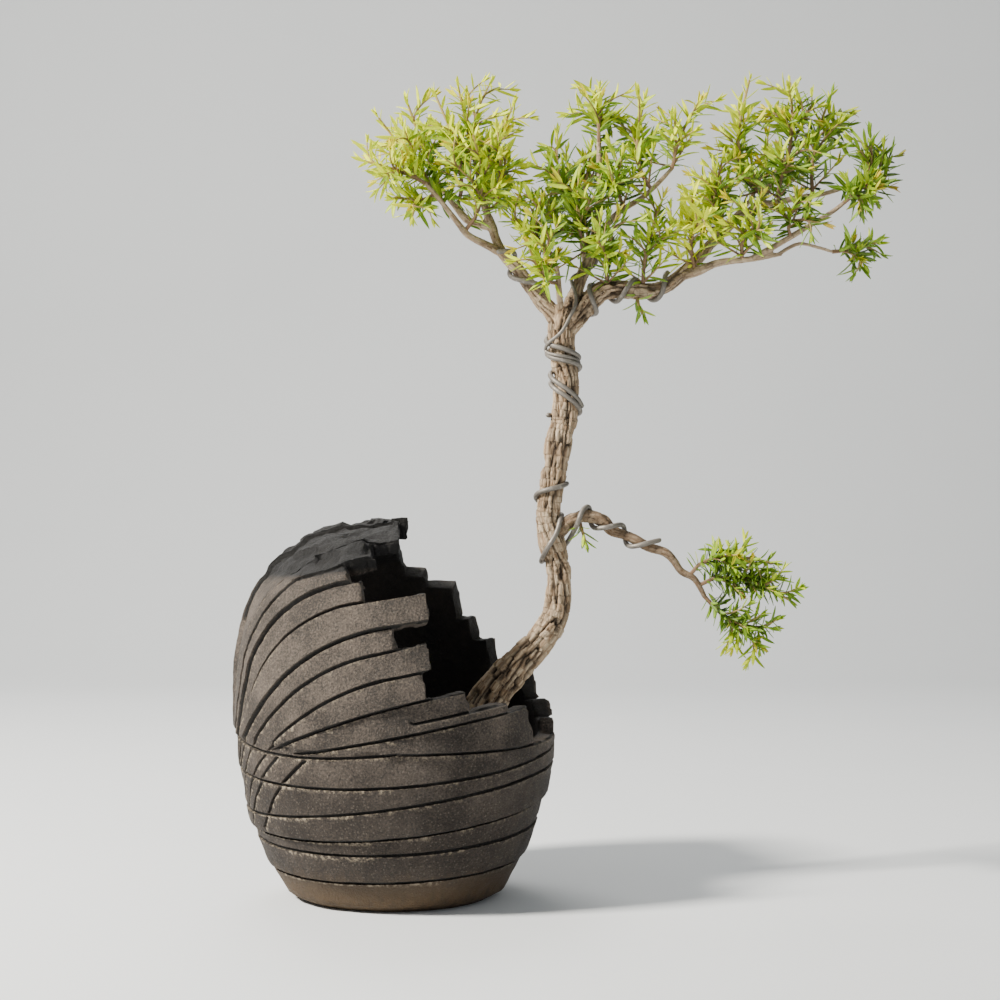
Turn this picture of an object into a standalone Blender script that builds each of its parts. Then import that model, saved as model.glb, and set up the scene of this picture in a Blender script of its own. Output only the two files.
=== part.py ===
"""A bonsai in a hand-built stoneware pot: drainage mesh, soil, grown wood, training wires and leafy sprays.

Metres, +Z up. The origin is the middle of the pot's flat underside. The front of the tree faces -Y.
"""

import math
from dataclasses import dataclass

import bmesh
import bpy
import numpy as np
from mathutils import Matrix, Vector

# Pot
POT_WALL = 0.009
POT_GIRTH = 0.087
POT_GIRTH_Z = 0.095
POT_SHOULDER_Z = 0.110
POT_TOP_Z = 0.2037
BASE_RADIUS = 0.057
FOOT_RADIUS = 0.052
FOOT_EDGE_Z = 0.004
POT_SIDES = 36
BELLY_STEPS = 5
DOME_STEPS = 7
HOOD_POWER_R = 2.2
HOOD_POWER_Z = 2.7

# The open side of the pot: (height where a step starts, how far right the wall reaches above it).
NEAR_STEPS = ((0.095, 0.070), (0.102, 0.043), (0.115, 0.020), (0.124, 0.023), (0.139, 0.004),
              (0.151, 0.0215), (0.165, -0.013), (0.1725, -0.022), (0.187, -0.010), (0.194, 0.004))
FAR_STEPS = ((0.103, 0.0785), (0.118, 0.057), (0.136, 0.045), (0.149, 0.035), (0.171, 0.0145),
             (0.178, 0.002))
CUTTER_RIGHT = 0.130
CUTTER_TOP = 0.240
CUTTER_DEPTH = 0.120
CUTTER_LAP = 0.001

# Drainage
DRAIN_COUNT = 3
DRAIN_RADIUS = 0.005
DRAIN_CIRCLE = 0.026
MESH_SIDE = 0.064
MESH_THICK = 0.0012
MESH_CELLS = 5
MESH_BAR = 0.0032
DRAIN_SIDES = 12
MESH_CUT_DEPTH = 0.01

# Soil
SOIL_BOTTOM_Z = 0.0113
SOIL_EDGE_Z = 0.083
SOIL_CROWN_Z = 0.088
SOIL_STEPS = 6
SOIL_CLEARANCE = 0.0006
SOIL_FLAT_RADIUS = 0.045
SOIL_FLAT_RISE = 0.8

GAP = 0.0003
ROOT_GAP = 0.0004
TIP_GAP = 0.0006

# Wires
THICK_WIRE = 0.0011
THIN_WIRE = 0.00075
WIRE_GAP = 0.00045
WIRE_STEP_DEGREES = 30
WIRE_LINK_STEPS = 8
WIRE_SPACING = 0.003
WIRE_EASINGS = 6
WIRE_EASE = 0.4
WIRE_SIDES = 6
PUSHES = 12

# Leaves
LEAF_LENGTH = 0.0125
LEAF_WIDTH = 0.0026
LEAF_THICK = 0.0008
LEAF_TILT = math.radians(50)
LEAF_BURIED = 0.0012
LEAVES_PER_SHOOT = 3
FIRST_LEAF = 0.35
GOLDEN_ANGLE = math.radians(137.5)
LEAF_CLEARANCE = 0.0007
LEAF_PROBES = 8
SHOOT_RADIUS = 0.00095
SHOOT_TIP_RADIUS = 0.0006
SHOOT_SIDES = 4
SHOOT_RINGS = 3
SHOOT_BEND = 0.4
FIRST_FORK = 0.3
FORK_STEP = 0.12

FRONT = Vector((0, -1, 0))
SMOOTH_ANGLE = math.radians(35)
SMALLEST = 1e-6


@dataclass(frozen=True)
class Limb:
    """A grown stem: the points that its middle passes, and its radius there or at its two ends."""

    points: tuple
    radii: tuple
    sides: int = 8


LIMBS = {
    "trunk": Limb(
        points=((0.030, 0.002, 0.066), (0.037, 0.002, 0.084), (0.046, 0.001, 0.099), (0.056, 0, 0.113),
                (0.066, 0, 0.1245), (0.079, 0, 0.138), (0.0865, 0.001, 0.150), (0.0895, 0.001, 0.162),
                (0.0890, 0.001, 0.180), (0.0855, 0, 0.193), (0.0835, 0, 0.205), (0.0845, -0.001, 0.216),
                (0.0864, -0.001, 0.228), (0.0895, 0, 0.248), (0.0925, 0.001, 0.258), (0.0935, 0.001, 0.271),
                (0.0935, 0.001, 0.283), (0.0918, 0, 0.297), (0.0910, 0, 0.311), (0.0935, 0, 0.321)),
        radii=(0.0125, 0.0120, 0.0108, 0.0095, 0.0086, 0.0076, 0.0070, 0.0066, 0.0063, 0.0068,
               0.0061, 0.0061, 0.0064, 0.0069, 0.0064, 0.0069, 0.0070, 0.0062, 0.0074, 0.0066),
        sides=12),
    "root_right": Limb(
        ((0.040, -0.002, 0.088), (0.052, -0.014, 0.080), (0.062, -0.024, 0.066)),
        (0.006, 0.003), 6),
    "root_back": Limb(
        ((0.036, 0.004, 0.086), (0.044, 0.020, 0.078), (0.050, 0.036, 0.062)),
        (0.006, 0.003), 6),
    "root_left": Limb(
        ((0.034, 0, 0.084), (0.018, -0.008, 0.077), (0.002, -0.014, 0.060)),
        (0.006, 0.003), 6),
    "left_limb": Limb(
        ((0.0925, 0, 0.308), (0.0870, 0, 0.317), (0.0800, 0, 0.325), (0.0735, -0.001, 0.3335),
         (0.0670, -0.002, 0.342), (0.0590, -0.002, 0.3505), (0.0555, -0.001, 0.358), (0.0510, 0, 0.3705),
         (0.0475, 0, 0.382), (0.0450, 0.001, 0.394)),
        (0.0050, 0.0015)),
    "left_front": Limb(
        ((0.0575, -0.002, 0.3515), (0.0500, -0.006, 0.355), (0.0400, -0.011, 0.3595),
         (0.0340, -0.015, 0.366),
         (0.0250, -0.019, 0.377), (0.0165, -0.021, 0.3865)),
        (0.0025, 0.0012), 6),
    "left_middle": Limb(
        ((0.0515, 0, 0.3665), (0.0400, 0.004, 0.3700), (0.0320, 0.009, 0.3795), (0.0250, 0.013, 0.389)),
        (0.0028, 0.0013), 6),
    "left_back": Limb(
        ((0.0540, 0, 0.3625), (0.0520, 0.009, 0.3710), (0.0480, 0.017, 0.3810), (0.0470, 0.024, 0.392)),
        (0.0026, 0.0013), 6),
    "middle_stem": Limb(
        ((0.0930, 0.001, 0.312), (0.0980, 0.002, 0.328), (0.1040, 0.003, 0.3430), (0.1085, 0.004, 0.3540),
         (0.1110, 0.004, 0.370), (0.1125, 0.004, 0.387), (0.1120, 0.002, 0.400), (0.1115, 0, 0.413)),
        (0.0042, 0.0014)),
    "middle_left": Limb(
        ((0.0915, -0.003, 0.314), (0.0895, -0.007, 0.328), (0.0885, -0.009, 0.340),
         (0.0850, -0.011, 0.350)),
        (0.0021, 0.0012), 6),
    "middle_back": Limb(
        ((0.1050, 0.003, 0.346), (0.1035, 0.014, 0.357), (0.1030, 0.022, 0.371), (0.1045, 0.027, 0.386)),
        (0.0022, 0.0012), 6),
    "middle_right": Limb(
        ((0.1095, 0.004, 0.3585), (0.1150, 0, 0.3660), (0.1230, -0.003, 0.3740), (0.1350, -0.006, 0.3810),
         (0.1440, -0.008, 0.3890), (0.1515, -0.009, 0.397)),
        (0.0022, 0.0012), 6),
    "right_limb": Limb(
        ((0.0935, 0, 0.311), (0.1000, 0, 0.3175), (0.1055, 0, 0.3245), (0.1140, -0.001, 0.3305),
         (0.1230, -0.002, 0.3315), (0.1330, -0.002, 0.3305), (0.1450, -0.002, 0.3315),
         (0.1545, -0.002, 0.3375),
         (0.1640, -0.001, 0.3465), (0.1755, 0, 0.3590), (0.1880, 0, 0.3705), (0.1980, 0, 0.3775),
         (0.2075, 0, 0.393), (0.2160, 0, 0.405)),
        (0.0062, 0.0015), 10),
    "right_branch": Limb(
        ((0.1985, 0, 0.3780), (0.2090, -0.003, 0.3790), (0.2210, -0.006, 0.3810), (0.2330, -0.008, 0.3825),
         (0.2460, -0.010, 0.3860)),
        (0.0022, 0.0012), 6),
    "right_low": Limb(
        ((0.1560, -0.002, 0.3385), (0.1660, -0.006, 0.3410), (0.1765, -0.009, 0.3450),
         (0.1940, -0.012, 0.3465),
         (0.2100, -0.014, 0.3490)),
        (0.0029, 0.0013), 6),
    "right_low_up": Limb(
        ((0.1950, -0.012, 0.3470), (0.2060, -0.015, 0.3530), (0.2200, -0.018, 0.3610),
         (0.2360, -0.020, 0.3705),
         (0.2430, -0.021, 0.3760)),
        (0.0020, 0.0012), 6),
    "right_back": Limb(
        ((0.1720, 0, 0.3550), (0.1790, 0.011, 0.3640), (0.1890, 0.020, 0.3750), (0.1990, 0.027, 0.3860)),
        (0.0026, 0.0013), 6),
    "right_twig": Limb(
        ((0.2080, -0.0138, 0.3487), (0.2190, -0.0130, 0.3545), (0.2300, -0.0110, 0.3530),
         (0.2390, -0.0100, 0.3505)),
        (0.0012, 0.0010), 6),
    "lower_limb": Limb(
        ((0.0850, 0, 0.1930), (0.0900, -0.001, 0.1990), (0.0960, -0.002, 0.2045), (0.1045, -0.002, 0.2070),
         (0.1135, -0.001, 0.2045), (0.1190, 0, 0.1990), (0.1285, 0, 0.1955), (0.1390, -0.001, 0.1900),
         (0.1480, -0.002, 0.1870), (0.1530, -0.001, 0.1820), (0.1570, 0, 0.1765), (0.1635, 0, 0.1730),
         (0.1670, 0, 0.1680), (0.1700, 0, 0.1620)),
        (0.0042, 0.0020)),
}


@dataclass(frozen=True)
class Spray:
    """A young leafy branchlet: the limb and how far along it, and where each of its shoots ends."""

    limb: str
    along: float
    tips: tuple


SPRAYS = {
    "left_spray_1": Spray("left_front", 1.0, ((-0.021, -0.024, 0.398), (-0.008, -0.036, 0.388))),
    "left_spray_2": Spray("left_front", 0.72, ((-0.015, -0.008, 0.428), (0.003, -0.022, 0.416))),
    "left_spray_3": Spray(
        "left_middle", 1.0,
        ((0.004, 0.010, 0.439), (0.017, 0.024, 0.428), (-0.008, 0.024, 0.418))),
    "left_spray_4": Spray("left_middle", 0.62, ((0.022, -0.004, 0.437), (0.032, -0.010, 0.420))),
    "left_spray_5": Spray("left_limb", 1.0, ((0.034, 0.001, 0.444), (0.052, -0.002, 0.445))),
    "left_spray_6": Spray("left_limb", 0.84, ((0.061, -0.014, 0.416), (0.069, -0.010, 0.401))),
    "left_spray_7": Spray(
        "left_back", 1.0,
        ((0.064, 0.022, 0.437), (0.046, 0.036, 0.426), (0.031, 0.038, 0.412))),
    "left_spray_8": Spray("left_front", 0.42, ((0.043, -0.030, 0.410), (0.028, -0.036, 0.396))),
    "left_spray_9": Spray("left_front", 0.86, ((0.001, -0.014, 0.380), (0.010, -0.028, 0.372))),
    "left_spray_10": Spray("left_back", 0.55, ((0.064, 0.034, 0.400), (0.070, 0.024, 0.386))),
    "middle_spray_1": Spray("middle_left", 1.0, ((0.059, -0.014, 0.374), (0.077, -0.022, 0.384))),
    "middle_spray_2": Spray("middle_left", 0.55, ((0.068, -0.026, 0.352), (0.086, -0.034, 0.366))),
    "middle_spray_3": Spray("middle_stem", 0.42, ((0.100, -0.014, 0.390), (0.108, -0.026, 0.378))),
    "middle_spray_4": Spray("middle_stem", 0.62, ((0.084, 0.002, 0.402), (0.089, 0.010, 0.418))),
    "middle_spray_5": Spray(
        "middle_stem", 1.0,
        ((0.112, 0.001, 0.442), (0.100, 0.008, 0.431), (0.122, 0.006, 0.427))),
    "middle_spray_6": Spray("middle_right", 0.42, ((0.123, -0.018, 0.401), (0.118, -0.028, 0.383))),
    "middle_spray_7": Spray("middle_right", 0.72, ((0.136, -0.004, 0.434), (0.133, 0.008, 0.420))),
    "middle_spray_8": Spray("middle_right", 1.0, ((0.152, -0.014, 0.421), (0.167, -0.008, 0.433))),
    "middle_spray_9": Spray("right_limb", 0.19, ((0.120, -0.026, 0.368), (0.108, -0.036, 0.352))),
    "middle_spray_10": Spray("right_limb", 0.31, ((0.145, -0.018, 0.378), (0.154, -0.024, 0.360))),
    "middle_spray_11": Spray(
        "middle_back", 1.0,
        ((0.109, 0.034, 0.416), (0.124, 0.036, 0.404), (0.092, 0.034, 0.405))),
    "middle_spray_12": Spray("middle_back", 0.5, ((0.082, 0.026, 0.380), (0.088, 0.036, 0.390))),
    "right_spray_1": Spray("right_limb", 0.66, ((0.178, -0.012, 0.400), (0.188, -0.022, 0.391))),
    "right_spray_2": Spray("right_limb", 0.84, ((0.194, -0.003, 0.446), (0.190, 0.008, 0.430))),
    "right_spray_3": Spray(
        "right_limb", 1.0,
        ((0.217, 0.002, 0.446), (0.206, 0.008, 0.432), (0.230, -0.006, 0.430))),
    "right_spray_4": Spray("right_branch", 0.25, ((0.222, -0.020, 0.408), (0.212, -0.026, 0.396))),
    "right_spray_5": Spray("right_branch", 0.62, ((0.240, 0.004, 0.440), (0.250, 0.010, 0.428))),
    "right_spray_6": Spray(
        "right_branch", 1.0,
        ((0.268, -0.010, 0.386), (0.258, -0.014, 0.414), (0.267, -0.002, 0.404))),
    "right_spray_7": Spray("right_low_up", 1.0, ((0.256, -0.030, 0.386), (0.248, -0.034, 0.372))),
    "right_spray_8": Spray("right_low_up", 0.4, ((0.216, -0.032, 0.376), (0.228, -0.034, 0.362))),
    "right_spray_9": Spray("right_low", 0.62, ((0.196, -0.030, 0.376), (0.197, -0.036, 0.358))),
    "right_spray_10": Spray(
        "right_back", 1.0,
        ((0.210, 0.036, 0.414), (0.224, 0.034, 0.400), (0.196, 0.038, 0.406))),
    "right_spray_11": Spray("right_back", 0.5, ((0.178, 0.028, 0.394), (0.170, 0.030, 0.380))),
    "right_spray_12": Spray("right_twig", 1.0, ((0.262, -0.009, 0.357), (0.254, -0.014, 0.344))),
    "right_spray_13": Spray("right_low", 0.16, ((0.162, -0.016, 0.382), (0.168, -0.026, 0.368))),
    "lower_spray_1": Spray("lower_limb", 0.86, ((0.207, -0.003, 0.181), (0.190, 0.006, 0.180))),
    "lower_spray_2": Spray("lower_limb", 0.93, ((0.216, 0.001, 0.161), (0.206, -0.012, 0.166))),
    "lower_spray_3": Spray("lower_limb", 1.0, ((0.200, 0.001, 0.136), (0.208, 0.008, 0.145))),
    "sprig_under_lower_limb": Spray("lower_limb", 0.19, ((0.104, -0.004, 0.193),)),
    "sprig_under_right_limb": Spray("right_limb", 0.29, ((0.135, -0.008, 0.317),)),
}


@dataclass(frozen=True)
class Wire:
    """A training wire: its radius, and knots of (limb, how far along, angle round it, lift off the bark)."""

    radius: float
    knots: tuple


WIRES = {
    "wire_lower_branch": Wire(THICK_WIRE, (
        ("trunk", 0.652, 80, 0.0006), ("trunk", 0.617, -90, 0), ("trunk", 0.574, -270, 0),
        ("trunk", 0.489, -450, 0),
        ("trunk", 0.515, -610, 0), ("lower_limb", 0.160, 60, 0), ("lower_limb", 0.240, -90, 0),
        ("lower_limb", 0.280, -270, 0), ("lower_limb", 0.435, -450, 0), ("lower_limb", 0.490, -630, 0),
        ("lower_limb", 0.640, -800, 0.0012))),
    "wire_left_limb": Wire(THICK_WIRE, (
        ("trunk", 0.805, 82, 0.0010), ("trunk", 0.872, -90, 0), ("trunk", 0.897, -270, 0),
        ("trunk", 0.935, -450, 0),
        ("trunk", 0.955, -520, 0), ("left_limb", 0.20, 150, 0), ("left_limb", 0.24, 90, 0),
        ("left_limb", 0.44, -90, 0), ("left_limb", 0.50, -270, 0), ("left_limb", 0.565, -395, 0.0005))),
    "wire_right_limb": Wire(THICK_WIRE, (
        ("trunk", 0.783, 285, 0.0016), ("trunk", 0.792, 90, 0), ("trunk", 0.852, -90, 0),
        ("trunk", 0.878, -270, 0),
        ("trunk", 0.912, -450, 0), ("trunk", 0.935, -550, 0), ("right_limb", 0.085, -195, 0),
        ("right_limb", 0.105, -270, 0), ("right_limb", 0.150, -450, 0), ("right_limb", 0.215, -630, 0),
        ("right_limb", 0.285, -810, 0), ("right_limb", 0.345, -990, 0),
        ("right_limb", 0.420, -1180, 0.0004))),
    "wire_crown": Wire(THIN_WIRE, (
        ("trunk", 0.885, 100, 0.0006), ("trunk", 0.902, -10, 0.0026), ("trunk", 0.915, -90, 0.0026),
        ("trunk", 0.945, 0, 0.0028), ("middle_stem", 0.16, 20, 0.0008), ("middle_stem", 0.30, -160, 0),
        ("middle_stem", 0.42, -330, 0))),
}


def vector_route(limb):
    return [Vector(point) for point in limb.points]


def limb_radii(limb):
    """One radius for each point of the limb."""
    if len(limb.radii) == len(limb.points):
        return list(limb.radii)
    last = len(limb.points) - 1
    first_radius, last_radius = limb.radii
    return [first_radius + (last_radius - first_radius) * i / last for i in range(last + 1)]


def limb_at(limb, along):
    """Place, direction and radius at a share of the limb's length."""
    points, radii = vector_route(limb), limb_radii(limb)
    lengths = [(b - a).length for a, b in zip(points, points[1:])]
    left = along * sum(lengths)
    for i, length in enumerate(lengths):
        if left <= length or i == len(lengths) - 1:
            share = min(left / length, 1)
            place = points[i].lerp(points[i + 1], share)
            radius = radii[i] + (radii[i + 1] - radii[i]) * share
            return place, (points[i + 1] - points[i]).normalized(), radius
        left -= length
    return None


def new_object(name, bm, helper=False):
    """A scene object that owns the bmesh's shape. A helper is a cutter or an operand and isn't rendered."""
    bmesh.ops.recalc_face_normals(bm, faces=bm.faces)
    mesh = bpy.data.meshes.new(name)
    bm.to_mesh(mesh)
    bm.free()
    made = bpy.data.objects.new(name, mesh)
    bpy.context.scene.collection.objects.link(made)
    made.hide_render = helper
    if helper:
        made.display_type = "WIRE"
    return made


def finish(made, colour, roughness, metallic=0.0, smooth=True):
    """Gives the object a material of its own and its shading."""
    material = bpy.data.materials.new(made.name)
    material.use_nodes = True
    shader = material.node_tree.nodes["Principled BSDF"]
    shader.inputs["Base Color"].default_value = (*colour, 1)
    shader.inputs["Roughness"].default_value = roughness
    shader.inputs["Metallic"].default_value = metallic
    made.data.materials.append(material)
    if smooth:
        made.data.shade_smooth()
        made.data.set_sharp_from_angle(angle=SMOOTH_ANGLE)


def boolean(made, other, operation, overlapping=False):
    """Joins or cuts with the other object. Overlapping says that the other's own shells cross."""
    step = made.modifiers.new(f"{operation.lower()}_{other.name}", "BOOLEAN")
    step.operation = operation
    step.object = other
    step.use_self = overlapping


def add_tube(bm, centres, radii, sides):
    """Adds a closed tube through the centres to the bmesh, by extruding its end cap from ring to ring."""
    ring = bmesh.ops.create_circle(bm, cap_ends=True, radius=1, segments=sides)["verts"]
    outline = [vert.co.copy() for vert in ring]
    cap = ring[0].link_faces[0]
    across = FRONT
    for i, (centre, radius) in enumerate(zip(centres, radii)):
        before = centres[max(i - 1, 0)]
        after = centres[min(i + 1, len(centres) - 1)]
        ahead = (after - before).normalized()
        across = (across - ahead * across.dot(ahead)).normalized()
        turn = Matrix((across, ahead.cross(across), ahead)).transposed()
        if i:
            grown = bmesh.ops.extrude_face_region(bm, geom=[cap])["geom"]
            if i > 1:
                bmesh.ops.delete(bm, geom=[cap], context="FACES_ONLY")
            cap = next(item for item in grown if isinstance(item, bmesh.types.BMFace))
            ring = list(cap.verts)
        for vert, corner in zip(ring, outline):
            vert.co = centre + turn @ (corner * radius)


def outer_radius(height):
    """The pot's outside radius at a height: a swelling belly, then a shoulder that closes into a hood."""
    if height <= POT_GIRTH_Z:
        below = (POT_GIRTH_Z - height) / POT_GIRTH_Z
        return BASE_RADIUS + (POT_GIRTH - BASE_RADIUS) * (1 - below * below)
    if height <= POT_SHOULDER_Z:
        return POT_GIRTH
    rise = (height - POT_SHOULDER_Z) / (POT_TOP_Z - POT_SHOULDER_Z)
    return POT_GIRTH * max(1 - rise**HOOD_POWER_Z, 0) ** (1 / HOOD_POWER_R)


def turned(name, profile, helper=False):
    """A solid turned about +Z from (radius, height) points that start and end on the axis."""
    bm = bmesh.new()
    corners = [bm.verts.new((radius, 0, height)) for radius, height in profile]
    edges = [bm.edges.new(pair) for pair in zip(corners, corners[1:])]
    bmesh.ops.spin(bm, geom=corners + edges, axis=(0, 0, 1), cent=(0, 0, 0), angle=math.tau,
                   steps=POT_SIDES, use_merge=True)
    bmesh.ops.remove_doubles(bm, verts=bm.verts, dist=SMALLEST)
    bmesh.ops.dissolve_degenerate(bm, edges=bm.edges, dist=SMALLEST)
    return new_object(name, bm, helper)


def pot_profile():
    belly = [FOOT_EDGE_Z + (POT_GIRTH_Z - FOOT_EDGE_Z) * i / BELLY_STEPS for i in range(BELLY_STEPS + 1)]
    dome = [math.radians(90 * i / DOME_STEPS) for i in range(DOME_STEPS)]
    heights = belly + [POT_SHOULDER_Z + (POT_TOP_Z - POT_SHOULDER_Z) * math.sin(turn) for turn in dome]
    profile = [(0, 0), (FOOT_RADIUS, 0)]
    profile += [(outer_radius(height), height) for height in heights]
    return profile + [(0, POT_TOP_Z)]


def stepped_cutter(name, steps, y_from, y_to):
    """A prism that takes away the wall to the right of the steps, from one depth to another."""
    outline = [(CUTTER_RIGHT, steps[0][0])]
    for i, (height, reach) in enumerate(steps):
        top = steps[i + 1][0] if i + 1 < len(steps) else CUTTER_TOP
        outline += [(reach, height), (reach, top)]
    outline.append((CUTTER_RIGHT, CUTTER_TOP))
    bm = bmesh.new()
    face = bm.faces.new([bm.verts.new((x, y_from, z)) for x, z in outline])
    pushed = bmesh.ops.extrude_face_region(bm, geom=[face])["geom"]
    bmesh.ops.translate(bm, verts=[item for item in pushed if isinstance(item, bmesh.types.BMVert)],
                        vec=(0, y_to - y_from, 0))
    return new_object(name, bm, helper=True)


def drain_cutter():
    bm = bmesh.new()
    for i in range(DRAIN_COUNT):
        turn = math.tau * i / DRAIN_COUNT + math.pi / 2
        middle = Vector((DRAIN_CIRCLE * math.cos(turn), DRAIN_CIRCLE * math.sin(turn), POT_WALL / 2))
        bmesh.ops.create_cone(bm, cap_ends=True, segments=DRAIN_SIDES, radius1=DRAIN_RADIUS,
                              radius2=DRAIN_RADIUS, depth=4 * POT_WALL, matrix=Matrix.Translation(middle))
    return new_object("drain_cutter", bm, helper=True)


def make_pot():
    pot = turned("pot", pot_profile())
    wall = pot.modifiers.new("wall", "SOLIDIFY")
    wall.thickness = POT_WALL
    wall.offset = -1
    wall.use_even_offset = True
    boolean(pot, stepped_cutter("near_opening", NEAR_STEPS, -CUTTER_DEPTH, 0), "DIFFERENCE")
    boolean(pot, stepped_cutter("far_opening", FAR_STEPS, -CUTTER_LAP, CUTTER_DEPTH), "DIFFERENCE")
    boolean(pot, drain_cutter(), "DIFFERENCE")
    finish(pot, (0.045, 0.038, 0.032), 0.75)


def make_drainage_mesh():
    """A square of plastic mesh on the pot's floor: a plate with a grid of square holes."""
    bm = bmesh.new()
    bmesh.ops.create_cube(bm, size=1, matrix=Matrix.Diagonal((MESH_SIDE, MESH_SIDE, MESH_THICK, 1)))
    bmesh.ops.translate(bm, verts=bm.verts, vec=(0, 0, POT_WALL + GAP + MESH_THICK / 2))
    sheet = new_object("drainage_mesh", bm)
    pitch = (MESH_SIDE - MESH_BAR) / MESH_CELLS
    cutters = bmesh.new()
    for row in range(MESH_CELLS):
        for column in range(MESH_CELLS):
            middle = Vector((column + 0.5 - MESH_CELLS / 2, row + 0.5 - MESH_CELLS / 2, 0)) * pitch
            place = Matrix.Translation(middle + Vector((0, 0, POT_WALL)))
            size = Matrix.Diagonal((pitch - MESH_BAR, pitch - MESH_BAR, MESH_CUT_DEPTH, 1))
            bmesh.ops.create_cube(cutters, size=1, matrix=place @ size)
    boolean(sheet, new_object("mesh_holes", cutters, helper=True), "DIFFERENCE")
    finish(sheet, (0.02, 0.02, 0.02), 0.5, smooth=False)


def soil_radius(height):
    """The wall's inside radius at a height, less a small gap."""
    slope = 2 * (POT_GIRTH - BASE_RADIUS) * (POT_GIRTH_Z - height) / POT_GIRTH_Z**2
    return outer_radius(height) - (POT_WALL + GAP) * math.sqrt(1 + slope * slope)


def add_wood(bm, names, grow=0.0):
    for name in names:
        limb = LIMBS[name]
        add_tube(bm, vector_route(limb), [radius + grow for radius in limb_radii(limb)], limb.sides)


def make_soil():
    rise = (SOIL_EDGE_Z - SOIL_BOTTOM_Z) / SOIL_STEPS
    heights = [SOIL_BOTTOM_Z + rise * i for i in range(SOIL_STEPS + 1)]
    profile = [(0, SOIL_BOTTOM_Z)] + [(soil_radius(height) - SOIL_CLEARANCE, height) for height in heights]
    flat_z = SOIL_EDGE_Z + SOIL_FLAT_RISE * (SOIL_CROWN_Z - SOIL_EDGE_Z)
    profile += [(SOIL_FLAT_RADIUS, flat_z), (0, SOIL_CROWN_Z)]
    soil = turned("soil", profile)
    for name in ("trunk", "root_right", "root_back", "root_left"):
        bm = bmesh.new()
        add_wood(bm, [name], grow=ROOT_GAP)
        boolean(soil, new_object(f"{name}_clearance", bm, helper=True), "DIFFERENCE")
    finish(soil, (0.06, 0.045, 0.035), 0.95)


def make_wood():
    """Trunk, roots and branches grown as one: every limb starts inside its parent and is joined to it."""
    bm = bmesh.new()
    add_wood(bm, ["trunk"])
    wood = new_object("trunk_and_branches", bm)
    for name in LIMBS:
        if name != "trunk":
            bm = bmesh.new()
            add_wood(bm, [name])
            boolean(wood, new_object(f"{name}_limb", bm, helper=True), "UNION")
    finish(wood, (0.33, 0.23, 0.15), 0.85)


class Space:
    """The rods that are already in place, which new wires and leaves keep clear of."""

    def __init__(self):
        self.starts, self.ends, self.radii, self.owners = [], [], [], []

    def add_route(self, owner, route, radii):
        for i, (start, end) in enumerate(zip(route, route[1:])):
            self.starts.append(tuple(start))
            self.ends.append(tuple(end))
            self.radii.append(max(radii[i], radii[i + 1]))
            self.owners.append(owner)

    def nearest(self, point, owner=None):
        """The least distance from a point to other owners' rods, and the place on that rod's middle."""
        kept = np.array([name != owner for name in self.owners])
        starts = np.array(self.starts)[kept]
        spans = np.array(self.ends)[kept] - starts
        along = np.einsum("ij,ij->i", np.array(point) - starts, spans)
        shares = along / np.einsum("ij,ij->i", spans, spans)
        places = starts + spans * np.clip(shares, 0, 1)[:, None]
        distances = np.linalg.norm(np.array(point) - places, axis=1) - np.array(self.radii)[kept]
        closest = int(distances.argmin())
        return float(distances[closest]), Vector(places[closest])

    def pushed_out(self, point, clearance):
        """The point, moved away from each rod in turn until it is this far from all of them."""
        for _ in range(PUSHES):
            distance, place = self.nearest(point)
            if distance >= clearance - SMALLEST:
                break
            point = point + (point - place).normalized() * (clearance - distance)
        return point

    def clearance(self, owner, start, end):
        """The least distance from a line to the rods of other owners, measured at points along it."""
        return min(self.nearest(start.lerp(end, i / LEAF_PROBES), owner)[0] for i in range(LEAF_PROBES + 1))


def wire_route(wire, space):
    """The wire's centres: turns round each limb between its knots, pushed clear of what is in the space."""
    route = []
    for knot, next_knot in zip(wire.knots, wire.knots[1:]):
        if knot[0] == next_knot[0]:
            steps = max(round(abs(next_knot[2] - knot[2]) / WIRE_STEP_DEGREES), 1)
            for i in range(steps + 1):
                numbers = [a + (b - a) * i / steps for a, b in zip(knot[1:], next_knot[1:])]
                route.append(beside_limb(wire, knot[0], *numbers))
        else:
            start, end = beside_limb(wire, *knot), beside_limb(wire, *next_knot)
            route += [start.lerp(end, i / WIRE_LINK_STEPS) for i in range(1, WIRE_LINK_STEPS)]
    return eased(evenly_spaced(route, WIRE_SPACING), wire.radius + WIRE_GAP, space)


def evenly_spaced(route, spacing):
    """Points this far apart along the route's own line, with both of its ends kept."""
    lengths = [(b - a).length for a, b in zip(route, route[1:])]
    count = max(round(sum(lengths) / spacing), 2)
    spaced, span, passed = [route[0]], 0, 0.0
    for i in range(1, count):
        wanted = sum(lengths) * i / count
        while passed + lengths[span] < wanted:
            passed += lengths[span]
            span += 1
        spaced.append(route[span].lerp(route[span + 1], (wanted - passed) / lengths[span]))
    return spaced + [route[-1]]


def eased(route, clearance, space):
    """The route drawn tight as a wire is round wood: smoothed a little and pushed off the bark, in turns."""
    for _ in range(WIRE_EASINGS):
        route = [space.pushed_out(point, clearance) for point in route]
        inner = [b.lerp(a.lerp(c, 0.5), WIRE_EASE) for a, b, c in zip(route, route[1:], route[2:])]
        route = [route[0], *inner, route[-1]]
    return [space.pushed_out(point, clearance) for point in route]


def beside_limb(wire, limb, along, angle, lift):
    """A point of the wire's centre, at an angle round a limb that is 0 in front and grows to the right."""
    place, ahead, radius = limb_at(LIMBS[limb], along)
    across = (FRONT - ahead * FRONT.dot(ahead)).normalized()
    outward = across * math.cos(math.radians(angle)) + ahead.cross(across) * math.sin(math.radians(angle))
    return place + outward * (radius + wire.radius + WIRE_GAP + lift)


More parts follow.
